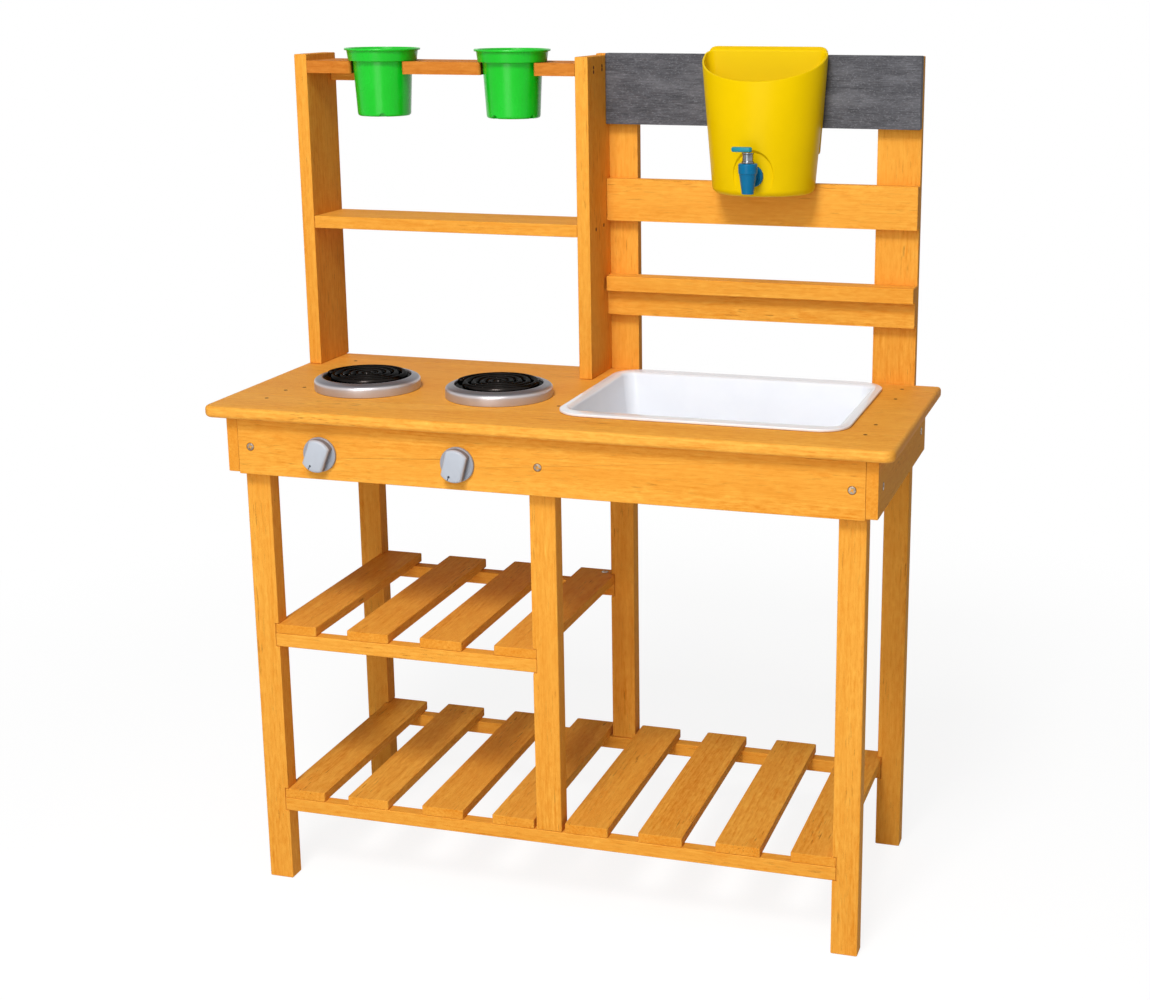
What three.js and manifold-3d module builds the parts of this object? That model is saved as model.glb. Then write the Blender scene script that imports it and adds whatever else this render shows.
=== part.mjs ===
// A child's outdoor mud kitchen in millimetres, +Z up.
// X runs along the worktop, Y runs from the front to the back, and the floor is at Z zero.
// The origin lies under the middle of the whole kitchen's width and depth.
import * as THREE from "three";
import { mergeVertices } from "three/addons/utils/BufferGeometryUtils.js";
import Module from "manifold-3d";

const wasm = await Module();
wasm.setup();

// General clearances
const seat_gap = 0.3; // between two pieces that rest on or butt against each other
const turning_gap = 0.5; // round a shaft or in front of a face that something turns on
const overrun = 20; // how far a cutting solid runs past what it cuts

// Frame timber
const frame_length = 849; // over the outer faces of the legs
const frame_depth = 355.4; // from the front of the front legs to the back of the back legs
const leg_width = 35.5;
const leg_depth = 24.5;
const board_t = 15.5; // aprons, stiles and the boards of the back panel
const upright_t = 18.6; // uprights of the shelf unit
const shelf_board_t = 17.3;
const rail_height = 19;
const rail_depth = 18;
const slat_width = 60.8;
const slat_t = 13;
const housing_depth = 5.5; // how far rails and slats are let into the legs and the posts

// Heights over the floor
const worktop_top = 691.2;
const lower_rail_bottom = 104.6;
const upper_rail_bottom = 349.4;

// Heights measured from the worktop
const apron_height = 78;
const side_board_rise = 2.4; // the side boards end this much higher than the front apron
const panel_rise = 449.8; // of the chalkboard's top over the worktop's
const stile_drop = 1; // of the stiles' tops, under the chalkboard's
const upright_drop = 3; // of the uprights' tops, under the chalkboard's
const pot_shelf_drop = 8.6; // of the pot shelf's top, under the uprights'
const middle_shelf_share = 0.4856; // of the panel's rise, up to the middle shelf's top
const back_board_share = 0.6143; // the same, up to the back board's top
const ledge_share = 0.3097; // the same, up to the ledge's top

// Worktop
const worktop_t = 15.5;
const worktop_edge_radius = 5;
const worktop_front_corner_radius = 15;
const worktop_back_corner_radius = 6;
const worktop_end_overhang = 23.9; // past the side boards, on the average of both ends
const worktop_shift = 2.6; // the worktop lies this much to the left of the frame's middle
const worktop_front_overhang = 17.3; // past the front apron
const front_board_width = 91;
const back_board_width = 45.4;
const board_seam = 0.4;

// Slat spacing in the lower shelf's bays, and beside the middle post
const slat_post_gap = 4.2;
const left_bay_slat_shares = [0, 0.31, 0.668, 1];
const right_bay_slat_shares = [0, 0.332, 0.674, 1];
const upper_slat_count = 4;
const back_rail_inset = 8; // of the back rails' back face from the back of the back legs

// Shelf unit on the worktop
const shelf_unit_inset = 6.9; // of its left upright from the worktop's end
const shelf_unit_from_middle = 20.7; // from its right upright's outer face to the frame's middle
const shelf_unit_depth = 90.7;
const cleat_length = 56;
const cleat_height = 13;
const cleat_depth = 18;
const pot_spacing_share = 0.4873; // between the pots' axes, of the length between the uprights
const pot_middle_share = 0.5092; // midway between the pots, of that length from the left
const pot_seat_from_front = 24; // from the pot shelf's front edge back to each pot's axis
const pot_seat_radius = 43.5;
const pot_seat_corner_radius = 4;

// Back panel
const stile_width = 60;
const stile_end_inset = 1.2; // of the right stile from the right legs' outer face
const chalkboard_height = 97.5;
const back_board_height = 59.5;
const ledge_board_height = 57.5;
const lip_height = 21.5;
const lip_t = 15.5;
const lip_end_gap = 3; // between the lip and the shelf unit's upright

// Hotplates and knobs
const hotplate_spacing = 195;
const hotplate_from_left = 120.4; // first hotplate, from the left legs' outer face
const hotplate_from_front = 167; // from the worktop's front edge to each hotplate's centre
const ring_radius = 73;
const ring_wall_height = 11.5;
const ring_height = 18.6;
const ring_lip_width = 1.2; // of the ring's flat top, beside the plate
const ring_shoulder_shares = [[0.12, 0.38], [0.45, 0.7]]; // of the shoulder's width in, and its height up
const plate_radius = 57;
const plate_height = 17.2;
const coil_inner_radius = 9;
const coil_outer_radius = 53;
const coil_turns = 4;
const coil_thickness = 6.4;
const knob_below_worktop = 58.7; // from the worktop's top down to the knobs' axes
const knob_flange_radius = 24.5;
const knob_flange_t = 4;
const knob_grip_radius = 22.5;
const knob_grip_width = 29;
const knob_grip_height = 12.5;
const knob_grip_edge = 1.6;
const knob_turn = THREE.MathUtils.degToRad(-20); // as the knobs stand in the photograph
const pointer_width = 2.6;
const pointer_depth = 2.2;
const pointer_start = 11.5;
const spindle_radius = 4;
const spindle_socket_depth = 11;
const spindle_head_radius = 9;
const spindle_head_t = 2.6;

// Sink basin
const sink_right_margin = 37; // from the basin's rim to the right legs' outer face
const sink_hotplate_gap = 35.6; // from the right hotplate's ring to the basin's rim
const sink_front_margin = 73; // from the worktop's front edge to the basin's rim
const sink_back_margin = 18.5; // from the basin's rim to the worktop's back edge
const sink_corner_radius = 40;
const sink_rim_end_width = 14.5;
const sink_rim_side_width = 24;
const sink_rim_height = 4.8;
const sink_rim_roll = 3;
const sink_mouth_roll = 1.6;
const sink_wall = 2.4;
const sink_depth = 82; // below the worktop's top
const sink_draft = 12; // how far the walls lean in on the way down
const sink_floor_radius = 12;
const sink_inner_corner_radius = 16;
const sink_cut_end_gap = 2; // between the basin's wall and the worktop's cut-out
const sink_cut_side_gap = 6;

// Flower pots
const pot_rim_radius = 53.3;
const pot_lip_t = 2.8;
const pot_collar_top_radius = 50;
const pot_collar_bottom_radius = 48;
const pot_collar_height = 14.8;
const pot_body_top_radius = 41.6;
const pot_base_radius = 37.3;
const pot_body_height = 76;
const pot_base_edge = 4;
const pot_wall = 1.8;
const pot_base_rise = 2.6;
const pot_foot_width = 7;
const drain_notch_radius = 5.2;
const drain_notch_length = 6.4;
const drain_notch_count = 4;
const left_pot_turn = THREE.MathUtils.degToRad(21);
const right_pot_turn = THREE.MathUtils.degToRad(66);

// Water tank, hung from the chalkboard's top and measured from its own back plane
const tank_from_panel_right = 209.4; // from the chalkboard's right end to the tank's middle
const tank_height = 191.5; // from its underside to the back of its slanted rim
const tank_rim_drop = 4; // of the rim's back, under the flange's top
const tank_rim_slope = 0.434;
const tank_top_half_width = 86.3;
const tank_base_half_width = 69.8;
const tank_top_depth = 92.6;
const tank_base_depth = 83.6;
const tank_side_straight = 22;
const tank_back_corner_radius = 14;
const tank_wall = 3;
const tank_base_edge = 9;
const flange_t = 3.5;
const flange_rise = 11; // of the flange's top over the chalkboard's
const flange_height = 144.5;
const flange_top_half_width = 80.5;
const flange_bottom_half_width = 73.5;
const flange_top_radius = 13;
const flange_bottom_radius = 5;
const hook_half_width = 55;
const hook_t = 3.2;
const hook_drop = 22;

// Tap, measured from the tank's underside and back plane, and from its own upright axis
const tap_rise = 28.5; // of the shank's axis over the tank's underside
const tap_reach = 110; // from the tank's back plane to the tap's upright axis
const tap_recess_radius = 35;
const tap_pad_from_back = 75; // the recess's flat floor, from the tank's back plane
const shank_radius = 7.5;
const shank_inside = 14; // past the tank's wall
const tap_flange_radius = 15;
const tap_flange_t = 5;
const tap_body_rise = 19.2; // of the body's top over the shank's axis
const tap_body_drop = 21.2; // of the spout's end under the shank's axis
const tap_body_radius = 12.8;
const tap_belt_step = 1;
const tap_spout_radius = 8.1;
const tap_belt_height = 13;
const tap_bore_radius = 5;
const tap_bore_depth = 20;
const bonnet_radius = 8.3;
const bonnet_height = 14;
const lever_length = 22.5; // from the turning axis to the tip
const lever_tail = 5.5;
const lever_width = 8.5;
const lever_t = 6.6;
const nut_radius = 12.5;
const nut_t = 7;

// Fineness of curves
const round_steps = 40;
const small_round_steps = 24;
const corner_steps = 5;
const coil_steps_a_turn = 26;
const coil_sides = 6;
const pot_seat_steps = 16;
const small_hole_steps = 12;
const sink_corner_steps = 4;
const nut_sides = 6;
const round_edge_share = 0.3; // where a round edge's middle lies, as a share of the edge's radius

// Places worked out from the sizes above
const frame_left = worktop_shift - frame_length / 2;
const frame_right = worktop_shift + frame_length / 2;
const worktop_underside = worktop_top - worktop_t;
const apron_bottom = worktop_underside - seat_gap - apron_height;
const chalkboard_top = worktop_top + panel_rise;
const stile_top = chalkboard_top - stile_drop;
const upright_top = chalkboard_top - upright_drop;
const pot_shelf_top = upright_top - pot_shelf_drop;
const middle_shelf_top = worktop_top + middle_shelf_share * panel_rise;
const back_board_top = worktop_top + back_board_share * panel_rise;
const ledge_board_top = worktop_top + ledge_share * panel_rise;
const worktop_half_length = frame_length / 2 + seat_gap + board_t + worktop_end_overhang;
const apron_front = -seat_gap - board_t;
const worktop_front = apron_front - worktop_front_overhang;
const post_left = worktop_shift - leg_width / 2;
const post_right = worktop_shift + leg_width / 2;
const back_leg_front = frame_depth - leg_depth;
const panel_layer_front = frame_depth + seat_gap;
const panel_layer_back = panel_layer_front + board_t;
const panel_board_front = panel_layer_front - seat_gap - board_t;
const shelf_unit_left = -worktop_half_length + shelf_unit_inset;
const shelf_unit_right = worktop_shift - shelf_unit_from_middle;
const shelf_unit_front = frame_depth - shelf_unit_depth;
const shelf_bay_left = shelf_unit_left + upright_t;
const shelf_bay_right = shelf_unit_right - upright_t;
const panel_right = frame_right - stile_end_inset;
const panel_left = shelf_unit_right + seat_gap;
const knob_z = worktop_top - knob_below_worktop;
const sink_left = frame_left + hotplate_from_left + hotplate_spacing + ring_radius + sink_hotplate_gap;
const sink_length = frame_right - sink_right_margin - sink_left;
const sink_x = sink_left + sink_length / 2;
const sink_width = frame_depth - worktop_front - sink_front_margin - sink_back_margin;
const sink_y = worktop_front + sink_front_margin + sink_width / 2;
const flange_top = chalkboard_top + flange_rise;
const flange_bottom = flange_top - flange_height;
const tank_rim_back = flange_top - tank_rim_drop;
const tank_bottom = tank_rim_back - tank_height;
const tap_height = tank_bottom + tap_rise;
const tap_body_top = tap_height + tap_body_rise;
const tap_body_bottom = tap_height - tap_body_drop;
const knob_front = apron_front - turning_gap - knob_flange_t - knob_grip_height;
const front_most = Math.min(knob_front, worktop_front);

// Materials
function finish(color, roughness, metalness) {
  return new THREE.MeshStandardMaterial({ color, roughness, metalness });
}
const honey_wood = finish(0xe39a3c, 0.6, 0);
const board_black = finish(0x5a5a60, 0.85, 0);
const silver_plastic = finish(0xc4c6ca, 0.35, 0.6);
const gloss_black = finish(0x101014, 0.15, 0);
const knob_grey = finish(0xccd3da, 0.45, 0);
const white_plastic = finish(0xf2f3f4, 0.3, 0);
const green_plastic = finish(0x1fcf38, 0.4, 0);
const yellow_plastic = finish(0xf3cf07, 0.35, 0);
const blue_plastic = finish(0x0876b4, 0.3, 0);
const teal_plastic = finish(0x1f91a6, 0.35, 0);
const chrome = finish(0xd4d8dc, 0.12, 1);
const steel = finish(0xa8acb0, 0.35, 1);

// Solids that can be cut and joined
function solid_of(geometry) {
  const bare = geometry.clone();
  bare.deleteAttribute("normal");
  bare.deleteAttribute("uv");
  const merged = mergeVertices(bare);
  const vertProperties = merged.attributes.position.array;
  const triVerts = new Uint32Array(merged.index.array);
  return new wasm.Manifold(new wasm.Mesh({ numProp: 3, vertProperties, triVerts }));
}

function geometry_of(solid) {
  const mesh = solid.getMesh();
  const geometry = new THREE.BufferGeometry();
  geometry.setAttribute("position", new THREE.BufferAttribute(mesh.vertProperties, 3));
  geometry.setIndex(new THREE.BufferAttribute(mesh.triVerts, 1));
  const flat = geometry.toNonIndexed();
  flat.computeVertexNormals();
  return flat;
}

// A box between two values along each axis
function block(x, y, z) {
  const box = new THREE.BoxGeometry(x[1] - x[0], y[1] - y[0], z[1] - z[0]);
  return box.translate((x[0] + x[1]) / 2, (y[0] + y[1]) / 2, (z[0] + z[1]) / 2);
}

// A solid of revolution round Z: the profile's points are [radius, height]
function turned(profile, steps) {
  const points = profile.map(([radius, height]) => new THREE.Vector2(radius, height));
  return new THREE.LatheGeometry(points, steps).rotateX(Math.PI / 2);
}

// A round bar along Y, from one value to another, on an axis at x and z
function bar_along_y(radius, y, x, z, steps = small_round_steps) {
  const bar = new THREE.CylinderGeometry(radius, radius, y[1] - y[0], steps);
  return bar.translate(0, (y[0] + y[1]) / 2, 0).translate(x, 0, z);
}

// An outline in X and Z, drawn out along Y between two values
function drawn_along_y(outline, y) {
  const settings = { depth: y[1] - y[0], bevelEnabled: false, curveSegments: corner_steps };
  return new THREE.ExtrudeGeometry(outline, settings).rotateX(Math.PI / 2).translate(0, y[1], 0);
}

// A skin over rings of points, closed with a fan at each end
function loft(rings) {
  const count = rings[0].length;
  const points = rings.flat();
  const faces = [];
  for (let ring = 0; ring + 1 < rings.length; ring++) {
    for (let i = 0; i < count; i++) {
      const a = ring * count + i;
      const b = ring * count + ((i + 1) % count);
      faces.push(a, b, b + count, a, b + count, a + count);
    }
  }
  const middle_of = (ring) =>
    ring.reduce((sum, point) => sum.add(point), new THREE.Vector3()).divideScalar(count);
  const first = points.push(middle_of(rings[0])) - 1;
  const last = points.push(middle_of(rings[rings.length - 1])) - 1;
  const top = (rings.length - 1) * count;
  for (let i = 0; i < count; i++) {
    const next = (i + 1) % count;
    faces.push(first, next, i, last, top + i, top + next);
  }
  const geometry = new THREE.BufferGeometry().setFromPoints(points);
  geometry.setIndex(faces);
  return geometry;
}

// A rectangle in plan with round corners, run round anticlockwise
function round_rectangle(half_x, half_y, radius) {
  const shape = new THREE.Shape();
  shape.absarc(half_x - radius, -half_y + radius, radius, -Math.PI / 2, 0, false);
  shape.absarc(half_x - radius, half_y - radius, radius, 0, Math.PI / 2, false);
  shape.absarc(-half_x + radius, half_y - radius, radius, Math.PI / 2, Math.PI, false);
  shape.absarc(-half_x + radius, -half_y + radius, radius, Math.PI, 1.5 * Math.PI, false);
  return shape;
}

// The kitchen as nested groups
const kitchen = new THREE.Group();
kitchen.position.y = -(front_most + panel_layer_back) / 2;
const pot_left_group = new THREE.Group();
const pot_right_group = new THREE.Group();
const tank_group = new THREE.Group();
const sink_group = new THREE.Group();
kitchen.add(pot_left_group, pot_right_group, tank_group, sink_group);

function place(name, geometry, material, parent = kitchen) {
  const mesh = new THREE.Mesh(geometry, material);
  mesh.name = name;
  parent.add(mesh);
  return mesh;
}

function board(name, x, y, z, material = honey_wood) {
  const mesh = place(name, new THREE.BoxGeometry(x[1] - x[0], y[1] - y[0], z[1] - z[0]), material);
  mesh.position.set((x[0] + x[1]) / 2, (y[0] + y[1]) / 2, (z[0] + z[1]) / 2);
}

// The worktop in plan, with wider round corners at the front than at the back
function worktop_outline(half_x, half_y) {
  const front = worktop_front_corner_radius;
  const back = worktop_back_corner_radius;
  const shape = new THREE.Shape();
  shape.absarc(half_x - front, -half_y + front, front, -Math.PI / 2, 0, false);
  shape.absarc(half_x - back, half_y - back, back, 0, Math.PI / 2, false);
  shape.absarc(-half_x + back, half_y - back, back, Math.PI / 2, Math.PI, false);
  shape.absarc(-half_x + front, -half_y + front, front, Math.PI, 1.5 * Math.PI, false);
  return shape;
}

// Worktop: one rounded blank is parted into boards, then cut out for the basin
function worktop() {
  const radius = worktop_edge_radius;
  const half_depth = (frame_depth - worktop_front) / 2;
  const outline = worktop_outline(worktop_half_length, half_depth);
  const settings = {
    depth: worktop_t - 2 * radius,
    bevelThickness: radius,
    bevelSize: radius,
    bevelOffset: -radius,
    bevelSegments: 4,
    curveSegments: corner_steps,
  };
  const blank = new THREE.ExtrudeGeometry(outline, settings);
  blank.translate(0, worktop_front + half_depth, worktop_underside + radius);
  const half_x = sink_length / 2 - sink_rim_end_width + sink_wall + sink_cut_end_gap;
  const half_y = sink_width / 2 - sink_rim_side_width + sink_wall + sink_cut_side_gap;
  const opening_x = [sink_x - half_x, sink_x + half_x];
  const opening_y = [sink_y - half_y, sink_y + half_y];
  const full_z = [worktop_underside - overrun, worktop_top + overrun];
  const opening = solid_of(block(opening_x, opening_y, full_z));
  const slab = solid_of(blank).subtract(opening);
  const reach = worktop_half_length + overrun;
  const front_seam = worktop_front + front_board_width;
  const back_seam = frame_depth - back_board_width;
  const middle_y = [front_seam + board_seam / 2, back_seam - board_seam / 2];
  const strips = {
    worktop_front_board: [[-reach, reach], [worktop_front - overrun, front_seam - board_seam / 2]],
    worktop_middle_left: [[-reach, sink_x], middle_y],
    worktop_middle_right: [[sink_x, reach], middle_y],
    worktop_back_board: [[-reach, reach], [back_seam + board_seam / 2, frame_depth + overrun]],
  };
  for (const [name, [x, y]] of Object.entries(strips)) {
    place(name, geometry_of(slab.intersect(solid_of(block(x, y, full_z)))), honey_wood);
  }
}

// Aprons under the worktop: front, both sides, and the back in two lengths beside the stiles
function aprons() {
  const height = [apron_bottom, worktop_underside - seat_gap];
  const side_height = [apron_bottom + side_board_rise, height[1]];
  const side_y = [apron_front, frame_depth];
  const holes = [0, 1].map((i) => {
    const x = frame_left + hotplate_from_left + i * hotplate_spacing;
    const y = [apron_front - overrun, overrun];
    return solid_of(bar_along_y(spindle_radius + turning_gap, y, x, knob_z));
  });
  const plain = solid_of(block([frame_left, frame_right], [apron_front, -seat_gap], height));
  place("apron_front", geometry_of(plain.subtract(holes[0]).subtract(holes[1])), honey_wood);
  board("apron_left", [frame_left - seat_gap - board_t, frame_left - seat_gap], side_y, side_height);
  board("apron_right", [frame_right + seat_gap, frame_right + seat_gap + board_t], side_y, side_height);
  const layer = [panel_layer_front, panel_layer_back];
  const left_stile = shelf_bay_right;
  const right_stile = panel_right - stile_width;
  board("apron_back_left", [frame_left, left_stile - seat_gap], layer, height);
  board("apron_back_right", [left_stile + stile_width + seat_gap, right_stile - seat_gap], layer, height);
}

// A leg or post seen from the front, with housings for the slatted shelves let into one side.
// side is 1 where the housings are in its right face and -1 where they are in its left face.
function housed_post(name, x, y, bottom, shelf_bottoms, side) {
  const half = leg_width / 2;
  const top = worktop_underside - seat_gap;
  const outline = new THREE.Shape();
  outline.moveTo(-half * side, bottom);
  outline.lineTo(half * side, bottom);
  for (const shelf_bottom of shelf_bottoms) {
    const housing_bottom = shelf_bottom - seat_gap;
    const housing_top = shelf_bottom + rail_height + slat_t + 2 * seat_gap;
    outline.lineTo(half * side, housing_bottom);
    outline.lineTo((half - housing_depth) * side, housing_bottom);
    outline.lineTo((half - housing_depth) * side, housing_top);
    outline.lineTo(half * side, housing_top);
  }
  outline.lineTo(half * side, top);
  outline.lineTo(-half * side, top);
  const mesh = place(name, drawn_along_y(outline, [0, leg_depth]), honey_wood);
  mesh.position.set(x, y, 0);
}

function legs_and_posts() {
  const left_x = frame_left + leg_width / 2;
  const right_x = frame_right - leg_width / 2;
  const post_bottom = lower_rail_bottom + rail_height + seat_gap;
  const both = [lower_rail_bottom, upper_rail_bottom];
  housed_post("leg_front_left", left_x, 0, 0, both, 1);
  housed_post("leg_back_left", left_x, back_leg_front, 0, both, 1);
  housed_post("leg_front_right", right_x, 0, 0, [lower_rail_bottom], -1);
  housed_post("leg_back_right", right_x, back_leg_front, 0, [lower_rail_bottom], -1);
  housed_post("post_front_middle", worktop_shift, 0, post_bottom, [upper_rail_bottom], -1);
  housed_post("post_back_middle", worktop_shift, back_leg_front, post_bottom, [upper_rail_bottom], -1);
}

// One slatted shelf: two rails let into the legs, and slats that lie on them from front to back
function slatted_shelf(name, left, right, bottom, slat_centres) {
  const height = [bottom, bottom + rail_height];
  const back_rail_y = frame_depth - back_rail_inset;
  board(name + "_rail_front", [left, right], [0, rail_depth], height);
  board(name + "_rail_back", [left, right], [back_rail_y - rail_depth, back_rail_y], height);
  const slat_z = [height[1] + seat_gap, height[1] + seat_gap + slat_t];
  slat_centres.forEach((centre, i) => {
    const x = [centre - slat_width / 2, centre + slat_width / 2];
    board(name + "_slat_" + (i + 1), x, [0, frame_depth], slat_z);
  });
}

function spread(first, last, shares) {
  return shares.map((share) => first + share * (last - first));
}

function slatted_shelves() {
  const half = slat_width / 2;
  const left = frame_left + leg_width - housing_depth + seat_gap;
  const right = frame_right - leg_width + housing_depth - seat_gap;
  const left_bay = spread(left + half, post_left - slat_post_gap - half, left_bay_slat_shares);
  const right_bay = spread(post_right + slat_post_gap + half, right - half, right_bay_slat_shares);
  slatted_shelf("lower", left, right, lower_rail_bottom, [...left_bay, ...right_bay]);
  const upper_right = post_left + housing_depth - seat_gap;
  const even_shares = Array.from({ length: upper_slat_count }, (_, i) => i / (upper_slat_count - 1));
  const upper = spread(left + half, upper_right - half, even_shares);
  slatted_shelf("upper", left, upper_right, upper_rail_bottom, upper);
}

// The pot shelf in plan: its front edge opens into a round seat for each pot
function pot_shelf_outline(length, seat_centres) {
  const outline = new THREE.Shape();
  const corner = pot_seat_corner_radius;
  const reach = pot_seat_radius + corner;
  const rise = pot_seat_from_front - corner;
  const run = Math.sqrt(reach * reach - rise * rise);
  const lean = Math.atan2(rise, run);
  outline.moveTo(0, 0);
  for (const centre of seat_centres) {
    outline.lineTo(centre - run, 0);
    outline.absarc(centre - run, corner, corner, -Math.PI / 2, lean, false);
    outline.absarc(centre, pot_seat_from_front, pot_seat_radius, Math.PI + lean, -lean, true);
    outline.absarc(centre + run, corner, corner, Math.PI - lean, 1.5 * Math.PI, false);
  }
  outline.lineTo(length, 0);
  outline.lineTo(length, shelf_unit_depth);
  outline.lineTo(0, shelf_unit_depth);
  return outline;
}

function shelf_unit() {
  const depth = [shelf_unit_front, frame_depth];
  const upright_z = [worktop_top + seat_gap, upright_top];
  board("shelf_upright_left", [shelf_unit_left, shelf_bay_left], depth, upright_z);
  board("shelf_upright_right", [shelf_bay_right, shelf_unit_right], depth, upright_z);
  const inside = [shelf_bay_left + seat_gap, shelf_bay_right - seat_gap];
  board("middle_shelf", inside, depth, [middle_shelf_top - shelf_board_t, middle_shelf_top]);
  const seats = pot_places().map((x) => x - inside[0]);
  const settings = { depth: shelf_board_t, bevelEnabled: false, curveSegments: pot_seat_steps };
  const outline = pot_shelf_outline(inside[1] - inside[0], seats);
  const pot_shelf = place("pot_shelf", new THREE.ExtrudeGeometry(outline, settings), honey_wood);
  pot_shelf.position.set(inside[0], shelf_unit_front, pot_shelf_top - shelf_board_t);
  const cleat_top = pot_shelf_top - shelf_board_t - seat_gap;
  const cleat_x = [inside[0], inside[0] + cleat_length];
  const cleat_y = [frame_depth - cleat_depth, frame_depth];
  board("pot_shelf_cleat", cleat_x, cleat_y, [cleat_top - cleat_height, cleat_top]);
}

function pot_places() {
  const bay = shelf_bay_right - shelf_bay_left;
  const middle = shelf_bay_left + pot_middle_share * bay;
  const spacing = pot_spacing_share * bay;
  return [middle - spacing / 2, middle + spacing / 2];
}

// Back panel: two stiles behind the worktop, and the boards across their front
function back_panel() {
  const layer = [panel_layer_front, panel_layer_back];
  const left_stile = shelf_bay_right;
  board("back_stile_left", [left_stile, left_stile + stile_width], layer, [apron_bottom, stile_top]);
  board("back_stile_right", [panel_right - stile_width, panel_right], layer, [apron_bottom, stile_top]);
  const across = [panel_left, panel_right];
  const board_y = [panel_board_front, panel_layer_front - seat_gap];
  board("chalkboard", across, board_y, [chalkboard_top - chalkboard_height, chalkboard_top], board_black);
  board("back_board", across, board_y, [back_board_top - back_board_height, back_board_top]);
  board("ledge_board", across, board_y, [ledge_board_top - ledge_board_height, ledge_board_top]);
  const lip_y = [panel_board_front - seat_gap - lip_t, panel_board_front - seat_gap];
  const lip_x = [panel_left + lip_end_gap, panel_right];
  board("ledge_lip", lip_x, lip_y, [ledge_board_top - lip_height, ledge_board_top]);
}

// A flat spiral that the raised coil of a hotplate follows
class FlatSpiral extends THREE.Curve {
  getPoint(t, target = new THREE.Vector3()) {
    const angle = t * coil_turns * 2 * Math.PI;
    const radius = coil_inner_radius + t * (coil_outer_radius - coil_inner_radius);
    return target.set(radius * Math.cos(angle), radius * Math.sin(angle), 0);
  }
}

function hotplates() {
  const inner = plate_radius + seat_gap;
  const lip = inner + ring_lip_width;
  const ring_profile = [
    [inner, 0],
    [ring_radius, 0],
    [ring_radius, ring_wall_height],
    ...ring_shoulder_shares.map(([inward, upward]) => [
      THREE.MathUtils.lerp(ring_radius, lip, inward),
      THREE.MathUtils.lerp(ring_wall_height, ring_height, upward),
    ]),
    [lip, ring_height],
    [inner, ring_height],
    [inner, 0],
  ];
  const plate_profile = [[0, 0], [plate_radius, 0], [plate_radius, plate_height], [0, plate_height]];
  const section = new THREE.Shape();
  section.absarc(0, 0, coil_thickness / 2, 0, 2 * Math.PI, false);
  const settings = {
    steps: coil_turns * coil_steps_a_turn,
    extrudePath: new FlatSpiral(),
    curveSegments: coil_sides,
    bevelEnabled: false,
  };
  const coil = new THREE.ExtrudeGeometry(section, settings).translate(0, 0, plate_height);
  const plate = geometry_of(solid_of(turned(plate_profile, round_steps)).add(solid_of(coil)));
  ["left", "right"].forEach((side, i) => {
    const x = frame_left + hotplate_from_left + i * hotplate_spacing;
    const y = worktop_front + hotplate_from_front;
    const ring = place("hotplate_ring_" + side, turned(ring_profile, round_steps), silver_plastic);
    ring.position.set(x, y, worktop_top + seat_gap);
    place("hotplate_coil_" + side, plate, gloss_black).position.copy(ring.position);
  });
}

// Knob: a round flange and a flat-sided grip, with a pointer groove and a socket for its spindle
function knob_geometry() {
  const flange = turned(
    [[0, 0], [knob_flange_radius, 0], [knob_flange_radius, knob_flange_t], [0, knob_flange_t]],
    round_steps,
  );
  const inner_radius = knob_grip_radius - knob_grip_edge;
  const half = knob_grip_width / 2 - knob_grip_edge;
  const bend = Math.asin(half / inner_radius);
  const outline = new THREE.Shape();
  outline.absarc(0, 0, inner_radius, Math.PI / 2 - bend, Math.PI / 2 + bend, false);
  outline.absarc(0, 0, inner_radius, 1.5 * Math.PI - bend, 1.5 * Math.PI + bend, false);
  outline.closePath();
  const settings = {
    depth: knob_grip_height,
    bevelThickness: knob_grip_edge,
    bevelSize: knob_grip_edge,
    bevelSegments: 2,
    curveSegments: corner_steps,
  };
  const grip = new THREE.ExtrudeGeometry(outline, settings);
  grip.translate(0, 0, knob_flange_t - knob_grip_edge);
  const top = knob_flange_t + knob_grip_height;
  const groove = block(
    [-pointer_width / 2, pointer_width / 2],
    [-knob_grip_radius - overrun, -pointer_start],
    [top - pointer_depth, top + overrun],
  );
  const socket_profile = [
    [0, -overrun],
    [spindle_radius + seat_gap, -overrun],
    [spindle_radius + seat_gap, spindle_socket_depth],
    [0, spindle_socket_depth],
  ];
  const whole = solid_of(grip).add(solid_of(flange)).subtract(solid_of(groove));
  return geometry_of(whole.subtract(solid_of(turned(socket_profile, small_round_steps))));
}

// Spindle: its shaft runs from the knob's socket through the apron to a head behind it
function spindle_geometry() {
  const head_z = -turning_gap - board_t - turning_gap;
  return turned(
    [
      [0, head_z - spindle_head_t],
      [spindle_head_radius, head_z - spindle_head_t],
      [spindle_head_radius, head_z],
      [spindle_radius, head_z],
      [spindle_radius, spindle_socket_depth - seat_gap],
      [0, spindle_socket_depth - seat_gap],
    ],
    small_round_steps,
  );
}

function knobs() {
  const knob = knob_geometry();
  const spindle = spindle_geometry();
  ["left", "right"].forEach((side, i) => {
    const turned_group = new THREE.Group();
    const x = frame_left + hotplate_from_left + i * hotplate_spacing;
    turned_group.position.set(x, apron_front - turning_gap, knob_z);
    turned_group.rotation.x = Math.PI / 2;
    kitchen.add(turned_group);
    place("knob_" + side, knob, knob_grey, turned_group).rotation.z = knob_turn;
    place("knob_spindle_" + side, spindle, steel, turned_group);
  });
}

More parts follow.
